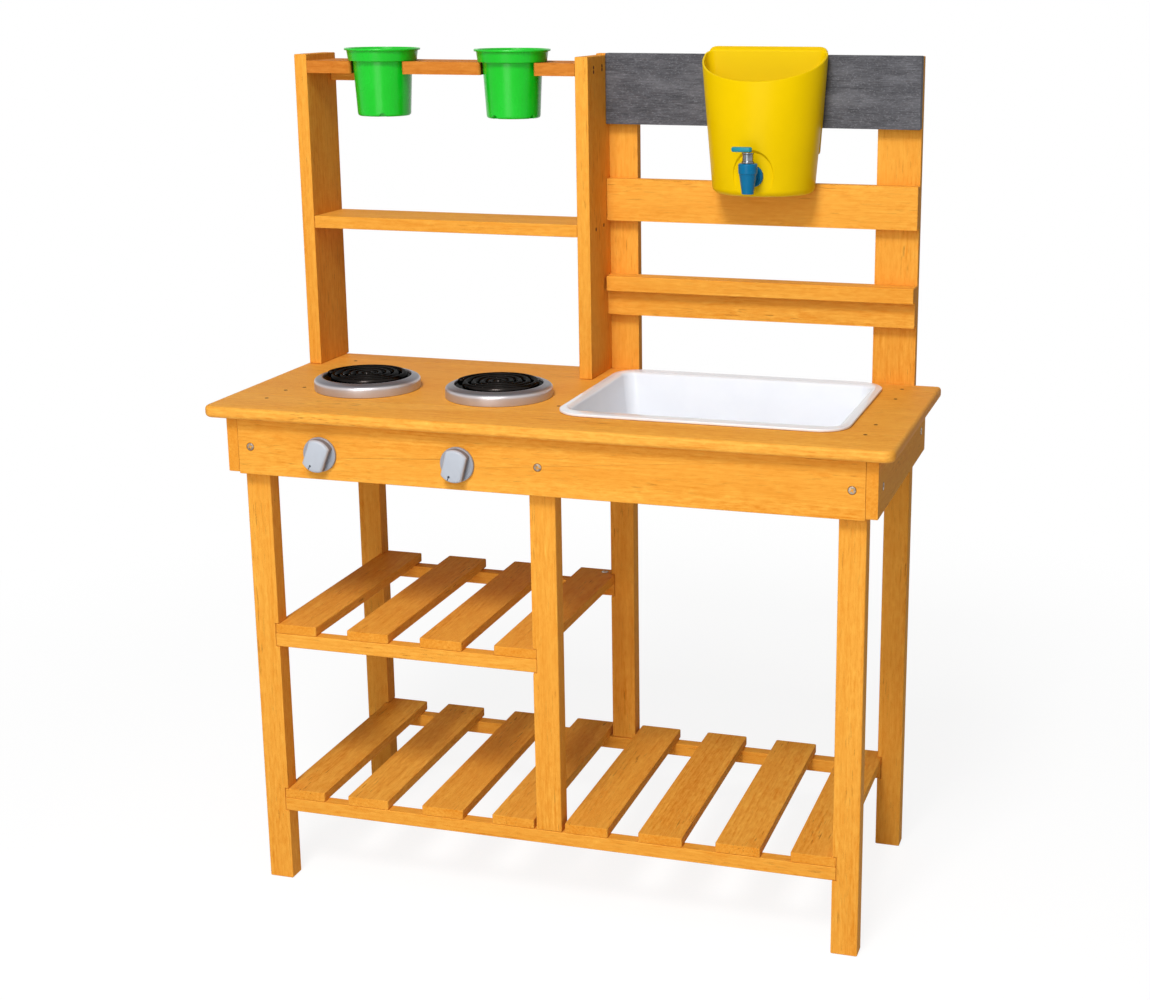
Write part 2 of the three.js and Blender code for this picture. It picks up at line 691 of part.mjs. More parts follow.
// Sink basin: one skin from under its floor, up the wall, round the rim and down inside
function sink_basin() {
  const ring = (end, side, radius, z) => {
    const shape = round_rectangle(sink_length / 2 - end, sink_width / 2 - side, radius);
    return shape.getPoints(sink_corner_steps).map((point) => new THREE.Vector3(point.x, point.y, z));
  };
  const rim_ring = (inset, z) => ring(inset, inset, sink_corner_radius - inset, z);
  const wall_ring = (inset, radius, z) =>
    ring(sink_rim_end_width + inset, sink_rim_side_width + inset, radius, z);
  const corner = sink_inner_corner_radius;
  const bend = sink_floor_radius;
  const bend_middle = round_edge_share * bend;
  const roll = sink_rim_roll;
  const roll_middle = round_edge_share * roll;
  const foot = sink_draft - sink_wall;
  const underside = -sink_depth;
  const floor = underside + sink_wall;
  const rings = [
    wall_ring(foot + bend, corner + sink_wall - bend, underside),
    wall_ring(foot + bend_middle, corner + sink_wall - bend_middle, underside + bend_middle),
    wall_ring(foot, corner + sink_wall, underside + bend),
    wall_ring(-sink_wall, corner + sink_wall, seat_gap),
    rim_ring(0, seat_gap),
    rim_ring(0, sink_rim_height - roll),
    rim_ring(roll_middle, sink_rim_height - roll_middle),
    rim_ring(roll, sink_rim_height),
    wall_ring(-sink_mouth_roll, corner + sink_mouth_roll, sink_rim_height),
    wall_ring(0, corner, sink_rim_height - sink_mouth_roll),
    wall_ring(sink_draft, corner, floor + bend),
    wall_ring(sink_draft + bend_middle, corner - bend_middle, floor + bend_middle),
    wall_ring(sink_draft + bend, corner - bend, floor),
  ];
  place("sink_basin", loft(rings), white_plastic, sink_group);
  sink_group.position.set(sink_x, sink_y, worktop_top);
}

// Flower pot, seated by the underside of its collar, with drain notches round its foot
function pot_geometry(turn) {
  const wall = pot_wall;
  const base = -pot_body_height;
  const foot = pot_base_radius - pot_foot_width;
  const collar_top = seat_gap + pot_collar_height;
  const rim_top = collar_top + pot_lip_t;
  const floor = base + pot_base_rise + wall;
  const profile = [
    [0, base + pot_base_rise],
    [foot - pot_base_rise, base + pot_base_rise],
    [foot, base],
    [pot_base_radius - pot_base_edge, base],
    [pot_base_radius - round_edge_share * pot_base_edge, base + round_edge_share * pot_base_edge],
    [pot_base_radius, base + pot_base_edge],
    [pot_body_top_radius, seat_gap],
    [pot_collar_bottom_radius, seat_gap],
    [pot_collar_top_radius, collar_top],
    [pot_rim_radius, collar_top],
    [pot_rim_radius, rim_top],
    [pot_collar_top_radius - wall, rim_top],
    [pot_collar_bottom_radius - wall, seat_gap + wall],
    [pot_body_top_radius - wall, seat_gap + wall],
    [pot_base_radius - wall, floor + pot_base_edge],
    [pot_base_radius - wall - pot_base_edge, floor],
    [0, floor],
  ];
  let pot = solid_of(turned(profile, round_steps));
  for (let i = 0; i < drain_notch_count; i++) {
    const length = [-pot_base_radius - overrun, -pot_base_radius + drain_notch_length];
    const notch = bar_along_y(drain_notch_radius, length, 0, base, small_hole_steps);
    notch.rotateZ(turn + (i * 2 * Math.PI) / drain_notch_count);
    pot = pot.subtract(solid_of(notch));
  }
  return geometry_of(pot);
}

function pots() {
  const [left_x, right_x] = pot_places();
  const y = shelf_unit_front + pot_seat_from_front;
  place("pot_left", pot_geometry(left_pot_turn), green_plastic, pot_left_group);
  place("pot_right", pot_geometry(right_pot_turn), green_plastic, pot_right_group);
  pot_left_group.position.set(left_x, y, pot_shelf_top);
  pot_right_group.position.set(right_x, y, pot_shelf_top);
}

// A level section of the tank: flat back, round back corners, straight sides and an elliptic front
function tank_section(z, inset, base_inset) {
  const share = (z - tank_bottom) / (tank_rim_back - tank_bottom);
  const half = THREE.MathUtils.lerp(tank_base_half_width, tank_top_half_width, share) - inset - base_inset;
  const depth = THREE.MathUtils.lerp(tank_base_depth, tank_top_depth, share) - inset - base_inset;
  const corner = tank_back_corner_radius - inset;
  const back = -inset;
  const outline = new THREE.Path();
  outline.absarc(half - corner, back - corner, corner, Math.PI / 2, 0, true);
  outline.absellipse(0, -tank_side_straight, half, depth - tank_side_straight, 0, -Math.PI, true);
  outline.absarc(-half + corner, back - corner, corner, Math.PI, Math.PI / 2, true);
  const points = outline.getPoints(corner_steps * 2);
  return points.reverse().map((point) => new THREE.Vector3(point.x, point.y, z));
}

function tank_body(inset, bottom) {
  const top = flange_top + overrun;
  const edge = tank_base_edge;
  return loft([
    tank_section(bottom, inset, edge),
    tank_section(bottom + round_edge_share * edge, inset, round_edge_share * edge),
    tank_section(bottom + edge, inset, 0),
    tank_section(top, inset, 0),
  ]);
}

// Everything over the slanted rim, seen from the side and drawn out along X
function above_the_rim() {
  const reach = tank_top_depth + overrun;
  const outline = new THREE.Shape();
  outline.moveTo(overrun, tank_rim_back + tank_rim_slope * overrun);
  outline.lineTo(overrun, flange_top + 2 * overrun);
  outline.lineTo(-reach, flange_top + 2 * overrun);
  outline.lineTo(-reach, tank_rim_back - tank_rim_slope * reach);
  const width = 2 * (tank_top_half_width + overrun);
  const settings = { depth: width, bevelEnabled: false };
  const wedge = new THREE.ExtrudeGeometry(outline, settings).translate(0, 0, -width / 2);
  return wedge.rotateX(Math.PI / 2).rotateZ(Math.PI / 2);
}

// The flange lies flat behind the tank's back wall and carries the hook over the chalkboard
function tank_flange() {
  const outline = new THREE.Shape();
  const top = flange_top_half_width;
  const low = flange_bottom_half_width;
  outline.moveTo(-low + flange_bottom_radius, flange_bottom);
  outline.lineTo(low - flange_bottom_radius, flange_bottom);
  outline.quadraticCurveTo(low, flange_bottom, low, flange_bottom + flange_bottom_radius);
  outline.lineTo(top, flange_top - flange_top_radius);
  outline.quadraticCurveTo(top, flange_top, top - flange_top_radius, flange_top);
  outline.lineTo(-top + flange_top_radius, flange_top);
  outline.quadraticCurveTo(-top, flange_top, -top, flange_top - flange_top_radius);
  outline.lineTo(-low, flange_bottom + flange_bottom_radius);
  outline.quadraticCurveTo(-low, flange_bottom, -low + flange_bottom_radius, flange_bottom);
  const plate = solid_of(drawn_along_y(outline, [-tank_wall / 2, flange_t]));
  const hook_x = [-hook_half_width, hook_half_width];
  const back_y = flange_t + seat_gap + board_t + seat_gap;
  const hook_bottom = chalkboard_top + seat_gap;
  const hook_top = hook_bottom + hook_t;
  const bridge = block(hook_x, [flange_t / 2, back_y + hook_t], [hook_bottom, hook_top]);
  const flap = block(hook_x, [back_y, back_y + hook_t], [hook_top - hook_drop, hook_top]);
  return plate.add(solid_of(bridge)).add(solid_of(flap));
}

function water_tank() {
  const pad = -tap_pad_from_back;
  const far = -tank_top_depth - overrun;
  const recess = bar_along_y(tap_recess_radius, [far, pad], 0, tap_height, round_steps);
  const hollow_end = pad + tank_wall;
  const round_recess = tap_recess_radius + tank_wall;
  const pad_wall = bar_along_y(round_recess, [far, hollow_end], 0, tap_height, round_steps);
  const outer = solid_of(tank_body(0, tank_bottom)).subtract(solid_of(recess));
  const inner = solid_of(tank_body(tank_wall, tank_bottom + tank_wall)).subtract(solid_of(pad_wall));
  const shell = outer.subtract(inner).subtract(solid_of(above_the_rim()));
  const hole = bar_along_y(shank_radius + seat_gap, [pad - overrun, pad + overrun], 0, tap_height);
  const tank = shell.add(tank_flange()).subtract(solid_of(hole));
  place("water_tank", geometry_of(tank), yellow_plastic, tank_group);
  const tank_y = panel_board_front - seat_gap - flange_t;
  tank_group.position.set(panel_right - tank_from_panel_right, tank_y, 0);
}

// Tap: the shank runs from inside the tank to the upright body, whose spout is open below
function tap() {
  const axis_y = -tap_reach;
  const pad = -tap_pad_from_back;
  const shank_end = pad + tank_wall + shank_inside;
  const flange_y = [pad - seat_gap - tap_flange_t, pad - seat_gap];
  const shank = bar_along_y(shank_radius, [axis_y, shank_end], 0, tap_height);
  const flange = bar_along_y(tap_flange_radius, flange_y, 0, tap_height);
  const body_profile = [
    [0, tap_body_bottom],
    [tap_spout_radius, tap_body_bottom],
    [tap_body_radius - tap_belt_step, tap_body_top - tap_belt_height],
    [tap_body_radius, tap_body_top - tap_belt_height],
    [tap_body_radius, tap_body_top],
    [0, tap_body_top],
  ];
  const body = turned(body_profile, small_round_steps).translate(0, axis_y, 0);
  const bore_profile = [
    [0, tap_body_bottom - overrun],
    [tap_bore_radius, tap_body_bottom - overrun],
    [tap_bore_radius, tap_body_bottom + tap_bore_depth],
    [0, tap_body_bottom + tap_bore_depth],
  ];
  const bore = turned(bore_profile, small_hole_steps).translate(0, axis_y, 0);
  const whole = solid_of(shank).add(solid_of(flange)).add(solid_of(body)).subtract(solid_of(bore));
  place("tap_body", geometry_of(whole), blue_plastic, tank_group);
  const bonnet_z = tap_body_top + seat_gap;
  const bonnet = turned(
    [[0, 0], [bonnet_radius, 0], [bonnet_radius, bonnet_height], [0, bonnet_height]],
    small_round_steps,
  );
  place("tap_bonnet", bonnet, chrome, tank_group).position.set(0, axis_y, bonnet_z);
  const lever_outline = new THREE.Shape();
  const half = lever_width / 2;
  lever_outline.moveTo(-lever_length + half, -half);
  lever_outline.lineTo(lever_tail - half, -half);
  lever_outline.absarc(lever_tail - half, 0, half, -Math.PI / 2, Math.PI / 2, false);
  lever_outline.absarc(-lever_length + half, 0, half, Math.PI / 2, 1.5 * Math.PI, false);
  const lever = new THREE.ExtrudeGeometry(lever_outline, { depth: lever_t, bevelEnabled: false });
  const lever_z = bonnet_z + bonnet_height + turning_gap;
  place("tap_lever", lever, teal_plastic, tank_group).position.set(0, axis_y, lever_z);
  const nut_y = pad + tank_wall + seat_gap;
  const nut = solid_of(bar_along_y(nut_radius, [nut_y, nut_y + nut_t], 0, tap_height, nut_sides));
  const nut_hole = bar_along_y(shank_radius + seat_gap, [nut_y - overrun, nut_y + overrun], 0, tap_height);
  place("tap_nut", geometry_of(nut.subtract(solid_of(nut_hole))), blue_plastic, tank_group);
}

worktop();
aprons();
legs_and_posts();
slatted_shelves();
shelf_unit();
back_panel();
hotplates();
knobs();
sink_basin();
pots();
water_tank();
tap();

export default kitchen;
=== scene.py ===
import math

import bmesh
import bpy
from mathutils import Matrix, Vector


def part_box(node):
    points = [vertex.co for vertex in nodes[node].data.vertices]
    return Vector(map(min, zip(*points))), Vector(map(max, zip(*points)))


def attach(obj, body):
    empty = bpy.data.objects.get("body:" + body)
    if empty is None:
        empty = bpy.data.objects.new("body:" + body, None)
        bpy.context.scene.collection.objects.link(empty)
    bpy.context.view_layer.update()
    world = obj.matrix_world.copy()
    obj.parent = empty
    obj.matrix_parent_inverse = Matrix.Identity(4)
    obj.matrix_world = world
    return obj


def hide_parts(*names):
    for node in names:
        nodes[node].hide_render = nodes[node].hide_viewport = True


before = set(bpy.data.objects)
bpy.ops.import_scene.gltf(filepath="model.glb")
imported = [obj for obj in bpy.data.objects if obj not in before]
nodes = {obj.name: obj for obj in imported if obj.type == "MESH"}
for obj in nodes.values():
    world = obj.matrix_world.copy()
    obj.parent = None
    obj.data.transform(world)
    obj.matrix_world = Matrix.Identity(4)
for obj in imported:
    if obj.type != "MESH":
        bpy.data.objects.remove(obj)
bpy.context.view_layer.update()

MM = 0.001  # lengths are given in millimetres and stored in metres


# Colour and node helpers ---------------------------------------------------------------------


def tint(red, green, blue):
    """A finish's colour on the 0 to 255 scale of a paint chart, as linear light."""

    def linear(share):
        return share / 12.92 if share <= 0.04045 else ((share + 0.055) / 1.055) ** 2.4

    return (linear(red / 255), linear(green / 255), linear(blue / 255), 1.0)


def add(tree, kind, **settings):
    node = tree.nodes.new(kind)
    for key, value in settings.items():
        setattr(node, key, value)
    return node


def feed(tree, socket, value):
    """Joins an output to a socket, or sets the socket to a plain value."""
    if isinstance(value, bpy.types.NodeSocket):
        tree.links.new(value, socket)
    else:
        socket.default_value = value


def maths(tree, operation, first, second=0.0, third=0.0, clamp=False):
    node = add(tree, "ShaderNodeMath", operation=operation, use_clamp=clamp)
    for socket, value in zip(node.inputs, (first, second, third)):
        feed(tree, socket, value)
    return node.outputs[0]


def swing(tree, value, amount):
    """Turns a value from 0 to 1 into one that swings round 0, over the amount in all."""
    return maths(tree, "MULTIPLY", maths(tree, "SUBTRACT", value, 0.5), amount)


def vector_maths(tree, operation, first, second):
    node = add(tree, "ShaderNodeVectorMath", operation=operation)
    feed(tree, node.inputs[0], first)
    feed(tree, node.inputs[1], second)
    return node.outputs[0]


def remap(tree, value, low, high, out_low=0.0, out_high=1.0):
    node = add(tree, "ShaderNodeMapRange", interpolation_type="SMOOTHSTEP")
    for socket, number in zip(node.inputs, (value, low, high, out_low, out_high)):
        feed(tree, socket, number)
    return node.outputs[0]


def blend(tree, share, first, second):
    """Mixes two colours; share is how much of the second shows."""
    node = add(tree, "ShaderNodeMix", data_type="RGBA")
    feed(tree, node.inputs[0], share)
    feed(tree, node.inputs[6], first)
    feed(tree, node.inputs[7], second)
    return node.outputs[2]


def cloud(tree, place, scale, detail=2.0, roughness=0.5):
    """Soft noise; scale is one number, or one for each axis."""
    if isinstance(scale, tuple):
        place = vector_maths(tree, "MULTIPLY", place, scale)
        scale = 1.0
    node = add(tree, "ShaderNodeTexNoise")
    feed(tree, node.inputs["Vector"], place)
    node.inputs["Scale"].default_value = scale
    node.inputs["Detail"].default_value = detail
    node.inputs["Roughness"].default_value = roughness
    return node.outputs[0]


def split(tree, vector):
    node = add(tree, "ShaderNodeSeparateXYZ")
    feed(tree, node.inputs[0], vector)
    return node.outputs


def join(tree, x, y, z):
    node = add(tree, "ShaderNodeCombineXYZ")
    for socket, value in zip(node.inputs, (x, y, z)):
        feed(tree, socket, value)
    return node.outputs[0]


def object_place(tree):
    """The place on the kitchen that a pattern is laid out by."""
    return add(tree, "ShaderNodeTexCoord").outputs["Object"]


KINDS = {
    "vector": "NodeSocketVector",
    "colour": "NodeSocketColor",
    "value": "NodeSocketFloat",
}


def shared_effect(name, inputs, outputs):
    """An empty node group with named sockets, its input node and its output node."""
    tree = bpy.data.node_groups.new(name, "ShaderNodeTree")
    for label, kind in inputs:
        tree.interface.new_socket(name=label, in_out="INPUT", socket_type=KINDS[kind])
    for label, kind in outputs:
        tree.interface.new_socket(name=label, in_out="OUTPUT", socket_type=KINDS[kind])
    return tree, add(tree, "NodeGroupInput").outputs, add(tree, "NodeGroupOutput").inputs


def use_effect(tree, effect, **values):
    """Places a shared effect in a material, its inputs named with _ for a space."""
    node = add(tree, "ShaderNodeGroup", node_tree=effect)
    for label, value in values.items():
        feed(tree, node.inputs[label.replace("_", " ")], value)
    return node.outputs


# Shared effects ------------------------------------------------------------------------------


def timber_figure():
    """Growth rings, fibres and short dark flecks; Place runs along the grain on its X."""
    tree, given, result = shared_effect(
        "timber figure",
        [
            ("Place", "vector"),
            ("Board", "vector"),
            ("End grain", "value"),
            ("Pale wood", "colour"),
            ("Deep wood", "colour"),
            ("Fleck", "colour"),
        ],
        [("Color", "colour"), ("Roughness", "value"), ("Height", "value")],
    )
    lot = add(tree, "ShaderNodeTexWhiteNoise", noise_dimensions="3D")
    feed(tree, lot.inputs[0], given["Board"])
    luck = split(tree, lot.outputs["Color"])
    along, across, through = split(tree, given["Place"])
    own_shift = vector_maths(tree, "MULTIPLY", lot.outputs["Color"], (7, 5, 3))
    shifted = vector_maths(tree, "ADD", given["Place"], own_shift)

    # Every board is cut from its own part of the trunk, at its own tilt to the heart.
    tilt = swing(tree, luck[2], 0.07)
    wander = swing(tree, cloud(tree, shifted, (2.5, 0.5, 0.5), 1.0), 0.035)
    ring_y = maths(tree, "ADD", across, maths(tree, "MULTIPLY", along, tilt))
    ring_y = maths(tree, "ADD", ring_y, wander)
    ring_y = maths(tree, "ADD", ring_y, swing(tree, luck[0], 0.06))
    ring_z = maths(tree, "ADD", through, maths(tree, "MULTIPLY_ADD", luck[1], 0.05, 0.012))
    rings = add(
        tree,
        "ShaderNodeTexWave",
        wave_type="RINGS",
        rings_direction="X",
        wave_profile="SAW",
    )
    stretched = maths(tree, "MULTIPLY", along, 0.35)
    feed(tree, rings.inputs["Vector"], join(tree, stretched, ring_y, ring_z))
    for label, number in (
        ("Scale", 62.0),
        ("Distortion", 2.2),
        ("Detail", 2.0),
        ("Detail Scale", 0.6),
        ("Detail Roughness", 0.55),
    ):
        rings.inputs[label].default_value = number
    late_wood = maths(tree, "POWER", rings.outputs["Fac"], 2.6)

    fibre = cloud(tree, shifted, (26, 400, 400), 4.0, 0.7)
    broad = cloud(tree, shifted, (2.0, 22, 22), 2.0)
    mottle = cloud(tree, shifted, (70, 230, 230), 3.0, 0.65)
    short_marks = cloud(tree, shifted, (38, 430, 430), 1.0)
    patches = cloud(tree, shifted, (6, 14, 14), 1.0)
    fleck = maths(
        tree,
        "MULTIPLY",
        remap(tree, short_marks, 0.64, 0.72),
        remap(tree, patches, 0.48, 0.6),
    )

    tone = maths(tree, "MULTIPLY_ADD", broad, 0.7, 0.2)
    for amount, value in ((1.2, fibre), (1.1, mottle), (0.16, luck[1])):
        tone = maths(tree, "ADD", tone, swing(tree, value, amount))
    tone = maths(tree, "SUBTRACT", tone, maths(tree, "MULTIPLY", late_wood, 0.2), clamp=True)
    colour = blend(tree, tone, given["Deep wood"], given["Pale wood"])
    colour = blend(tree, maths(tree, "MULTIPLY", fleck, 0.62), colour, given["Fleck"])
    darker_end = maths(tree, "MULTIPLY", given["End grain"], 0.3)
    colour = blend(tree, darker_end, colour, given["Deep wood"])
    feed(tree, result["Color"], colour)
    feed(tree, result["Roughness"], remap(tree, fibre, 0.2, 0.8, 0.55, 0.7))
    height = maths(tree, "SUBTRACT", fibre, maths(tree, "MULTIPLY", late_wood, 0.45))
    height = maths(tree, "SUBTRACT", height, maths(tree, "MULTIPLY", fleck, 0.6))
    feed(tree, result["Height"], height)
    return tree


def moulded_skin():
    """The skin of a moulding: a slight bloom in the colour, fine grain, and hairline scuffs."""
    tree, given, result = shared_effect(
        "moulded skin",
        [
            ("Place", "vector"),
            ("Main colour", "colour"),
            ("Bloom colour", "colour"),
            ("Smooth", "value"),
            ("Scuffs", "value"),
        ],
        [("Color", "colour"), ("Roughness", "value"), ("Height", "value")],
    )
    place = given["Place"]
    bloom = remap(tree, cloud(tree, place, 16.0, 3.0, 0.55), 0.35, 0.75)
    grain = cloud(tree, place, 900.0, 2.0)
    hairline = maths(
        tree,
        "MULTIPLY",
        remap(tree, cloud(tree, place, (900, 60, 260), 1.0), 0.68, 0.78),
        remap(tree, cloud(tree, place, 22.0, 1.0), 0.5, 0.7),
    )
    hairline = maths(tree, "MULTIPLY", hairline, given["Scuffs"])
    bloomed = maths(tree, "MULTIPLY", bloom, 0.55)
    colour = blend(tree, bloomed, given["Main colour"], given["Bloom colour"])
    colour = blend(tree, maths(tree, "MULTIPLY", hairline, 0.3), colour, given["Bloom colour"])
    feed(tree, result["Color"], colour)
    rough = maths(tree, "ADD", given["Smooth"], maths(tree, "MULTIPLY", bloom, 0.07))
    rough = maths(tree, "ADD", rough, maths(tree, "MULTIPLY", hairline, 0.25), clamp=True)
    feed(tree, result["Roughness"], rough)
    feed(tree, result["Height"], maths(tree, "SUBTRACT", grain, hairline))
    return tree


TIMBER = timber_figure()
SKIN = moulded_skin()


# Materials -----------------------------------------------------------------------------------


def shader_of(material):
    return material.node_tree.nodes["Principled BSDF"]


def blank_material(name):
    material = bpy.data.materials.new(name)
    material.use_nodes = True
    return material, material.node_tree, shader_of(material)


def adjust(material, **values):
    """Sets numbers on a material's shader, its sockets named with _ for a space."""
    for label, value in values.items():
        shader_of(material).inputs[label.replace("_", " ")].default_value = value


def lay_over(material, share, colour):
    """Lays a colour over the one that a material has, as far as share says."""
    base = shader_of(material).inputs["Base Color"]
    plain = base.links[0].from_socket
    feed(material.node_tree, base, blend(material.node_tree, share, plain, colour))


def relief(tree, shader, height, strength, depth_mm):
    """Turns a height into a fine unevenness of the surface."""
    bump = add(tree, "ShaderNodeBump")
    bump.inputs["Strength"].default_value = strength
    bump.inputs["Distance"].default_value = depth_mm * MM
    feed(tree, bump.inputs["Height"], height)
    feed(tree, shader.inputs["Normal"], bump.outputs[0])


def finish_with(tree, shader, outputs, strength, depth_mm):
    """Joins an effect's colour, roughness and relief to the shader."""
    feed(tree, shader.inputs["Base Color"], outputs["Color"])
    feed(tree, shader.inputs["Roughness"], outputs["Roughness"])
    relief(tree, shader, outputs["Height"], strength, depth_mm)


# The axes of the kitchen in the order along the grain, across it and through the board
GRAIN_TURNS = {"X": (0, 1, 2), "Y": (1, 0, 2), "Z": (2, 0, 1)}
HONEY_PALE, HONEY_DEEP = tint(250, 189, 82), tint(212, 120, 14)


def stained_timber(direction, name, shine, pale=HONEY_PALE, deep=HONEY_DEEP):
    """Honey stain on timber whose grain runs along one axis of the kitchen."""
    material, tree, shader = blank_material(name)
    spot = add(tree, "ShaderNodeTexCoord")
    board = add(tree, "ShaderNodeAttribute", attribute_name="board_middle")
    from_middle = vector_maths(tree, "SUBTRACT", spot.outputs["Object"], board.outputs["Vector"])
    turn = GRAIN_TURNS[direction]
    parts = split(tree, from_middle)
    facing = split(tree, spot.outputs["Normal"])
    end_grain = maths(tree, "POWER", maths(tree, "ABSOLUTE", facing[turn[0]]), 6.0)
    outputs = use_effect(
        tree,
        TIMBER,
        Place=join(tree, *[parts[i] for i in turn]),
        Board=board.outputs["Vector"],
        End_grain=end_grain,
        Pale_wood=pale,
        Deep_wood=deep,
        Fleck=tint(112, 56, 14),
    )
    finish_with(tree, shader, outputs, 0.35, 0.25)
    shader.inputs["Specular IOR Level"].default_value = shine
    return material


def moulding(name, main, bloom, smooth, scuffs, shine=0.25, strength=0.12):
    """Coloured plastic; smooth is its roughness and shine how strongly its surface mirrors."""
    material, tree, shader = blank_material(name)
    outputs = use_effect(
        tree,
        SKIN,
        Place=object_place(tree),
        Main_colour=main,
        Bloom_colour=bloom,
        Smooth=smooth,
        Scuffs=scuffs,
    )
    finish_with(tree, shader, outputs, strength, 0.05)
    shader.inputs["Specular IOR Level"].default_value = shine
    return material


def blackboard_paint():
    """Matt grey paint, brushed along the board, with rubbed-out chalk left in it."""
    material, tree, shader = blank_material("blackboard paint")
    place = object_place(tree)
    brush = cloud(tree, place, (40, 280, 640), 4.0, 0.75)
    fine = cloud(tree, place, (320, 700, 620), 3.0, 0.7)
    smear = remap(tree, cloud(tree, place, (14, 40, 44), 5.0, 0.7), 0.42, 0.74)
    colour = blend(tree, remap(tree, brush, 0.25, 0.75), tint(44, 44, 48), tint(90, 90, 95))
    colour = blend(tree, maths(tree, "MULTIPLY", smear, 0.3), colour, tint(138, 138, 144))
    colour = blend(tree, remap(tree, fine, 0.5, 0.76, 0.0, 0.45), colour, tint(146, 146, 151))
    feed(tree, shader.inputs["Base Color"], colour)
    feed(tree, shader.inputs["Roughness"], remap(tree, brush, 0.2, 0.8, 0.62, 0.82))
    shader.inputs["Specular IOR Level"].default_value = 0.3
    height = maths(tree, "ADD", brush, maths(tree, "MULTIPLY", fine, 0.4))
    relief(tree, shader, height, 0.4, 0.25)
    return material


def bare_metal(name, main, dull, low, high):
    """Metal with finger marks and tarnish in its gloss."""
    material, tree, shader = blank_material(name)
    place = object_place(tree)
    tarnish = remap(tree, cloud(tree, place, 160.0, 4.0, 0.6), 0.35, 0.75)
    feed(tree, shader.inputs["Base Color"], blend(tree, tarnish, main, dull))
    feed(tree, shader.inputs["Roughness"], remap(tree, tarnish, 0.0, 1.0, low, high))
    shader.inputs["Metallic"].default_value = 1.0
    relief(tree, shader, cloud(tree, place, 900.0, 2.0), 0.1, 0.05)
    return material


def paint_shade_on_top(material, colour):
    """Darkens a moulding where its surface lies nearly level: painted shade on its upward faces."""
    tree = material.node_tree
    facing_up = split(tree, add(tree, "ShaderNodeNewGeometry").outputs["Normal"])[2]
    lay_over(material, remap(tree, facing_up, 0.5, 0.92), colour)


def paint_shade_on_sides(material, root, colour):
    """Greys a knob's sides and, less, its flange: painted shade behind the face, where they lie in
    shadow.

    The root is where the knob stands on the apron, and heights are taken from there.
    """
    tree = material.node_tree
    height = maths(tree, "SUBTRACT", root, split(tree, object_place(tree))[1])
    sides = remap(tree, height, 11.8 * MM, 13.6 * MM, 0.9, 0.0)
    flange = remap(tree, height, 3.6 * MM, 6 * MM, 0.45, 0.0)
    lay_over(material, maths(tree, "SUBTRACT", sides, flange), colour)


timber = {axis: stained_timber(axis, "stained timber along " + axis, 0.05) for axis in "XYZ"}
rubbed_timber = stained_timber("X", "worktop timber", 0.14)
darker_board = stained_timber("X", "darker board", 0.05, tint(222, 146, 62), tint(178, 92, 16))
blackboard = blackboard_paint()

# Each moulding: colour, bloom, then its roughness, scuffs, shine and strength of relief
silver_ring = moulding("silver lacquer", tint(186, 181, 183), tint(202, 199, 201), 0.32, 0.0, 0.35)
# Painted shade: the ring's level shoulder is darkened as if it lay in shade.
paint_shade_on_top(silver_ring, tint(104, 102, 108))
adjust(silver_ring, Metallic=0.65)
coil_black = moulding("coil black", tint(30, 26, 24), tint(42, 38, 36), 0.2, 0.7, 0.5, 0.08)
adjust(coil_black, Metallic=1.0, Specular_Tint=(0, 0, 0, 1), Coat_Weight=0.1, Coat_Roughness=0.06)
knob_plastic = moulding("knob grey", tint(175, 180, 189), tint(192, 197, 205), 0.36, 0.5, 0.3)
# Painted shade: the knob's sides and flange are greyed where they lie in shadow behind the face.
paint_shade_on_sides(knob_plastic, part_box("knob_left")[1].y, tint(104, 105, 112))
# Painted shade: a dark fill for the pointer's cut hole and slot.
pointer_shade_fill = moulding("pointer paint", tint(58, 64, 74), tint(74, 80, 90), 0.5, 0.3)
basin_white = moulding(
    "basin white", tint(229, 232, 238), tint(236, 238, 242), 0.16, 0.5, 0.4, 0.05
)
pot_green = moulding("pot green", tint(0, 190, 24), tint(22, 204, 46), 0.22, 0.3, 0.34)
tank_yellow = moulding("tank yellow", tint(226, 189, 0), tint(232, 195, 0), 0.33, 0.4, 0.06)
tap_blue = moulding("tap blue", tint(0, 102, 146), tint(4, 118, 160), 0.26, 0.4, 0.15)
lever_teal = moulding("lever teal", tint(10, 128, 146), tint(28, 146, 160), 0.28, 0.4, 0.25)
# Painted shade: a dark timber ring round each screw head stands for the countersink's shadow.
countersink_shade = moulding("painted countersink shade", tint(128, 76, 26), tint(158, 98, 40), 0.7, 0.2, 0.1)
# Dark brown nail heads: the nails' own colour, and painted shade of the dents they sit in.
nail_and_dent_shade = moulding("sunk nail", tint(92, 54, 20), tint(64, 38, 16), 0.6, 0.2, 0.1)

# Each metal: its colour where it is clean and where it is tarnished, then its roughness there
chrome = bare_metal("bonnet chrome", tint(134, 138, 142), tint(96, 102, 108), 0.1, 0.22)
screw_metal = bare_metal("screw zinc", tint(176, 166, 150), tint(112, 96, 78), 0.3, 0.55)


# Shapes --------------------------------------------------------------------------------------

ALONG_Y = Matrix.Rotation(math.radians(-90), 4, "X")  # lays a turned shape's axis along Y
FACING_FRONT = Matrix.Rotation(math.radians(90), 4, "X")
FACING_RIGHT = Matrix.Rotation(math.radians(90), 4, "Y")


def turned(degrees):
    """A turn about Z."""
    return Matrix.Rotation(math.radians(degrees), 4, "Z")


def at(x, y, z):
    """A shift given in millimetres."""
    return Matrix.Translation(Vector((x, y, z)) * MM)


def moved(bm, matrix):
    bmesh.ops.transform(bm, matrix=matrix, verts=bm.verts)
    return bm


def measures(node):
    """A CAD node's low corner, high corner and middle, in millimetres."""
    low, high = ([length / MM for length in corner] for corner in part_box(node))
    return low, high, [(a + b) / 2 for a, b in zip(low, high)]


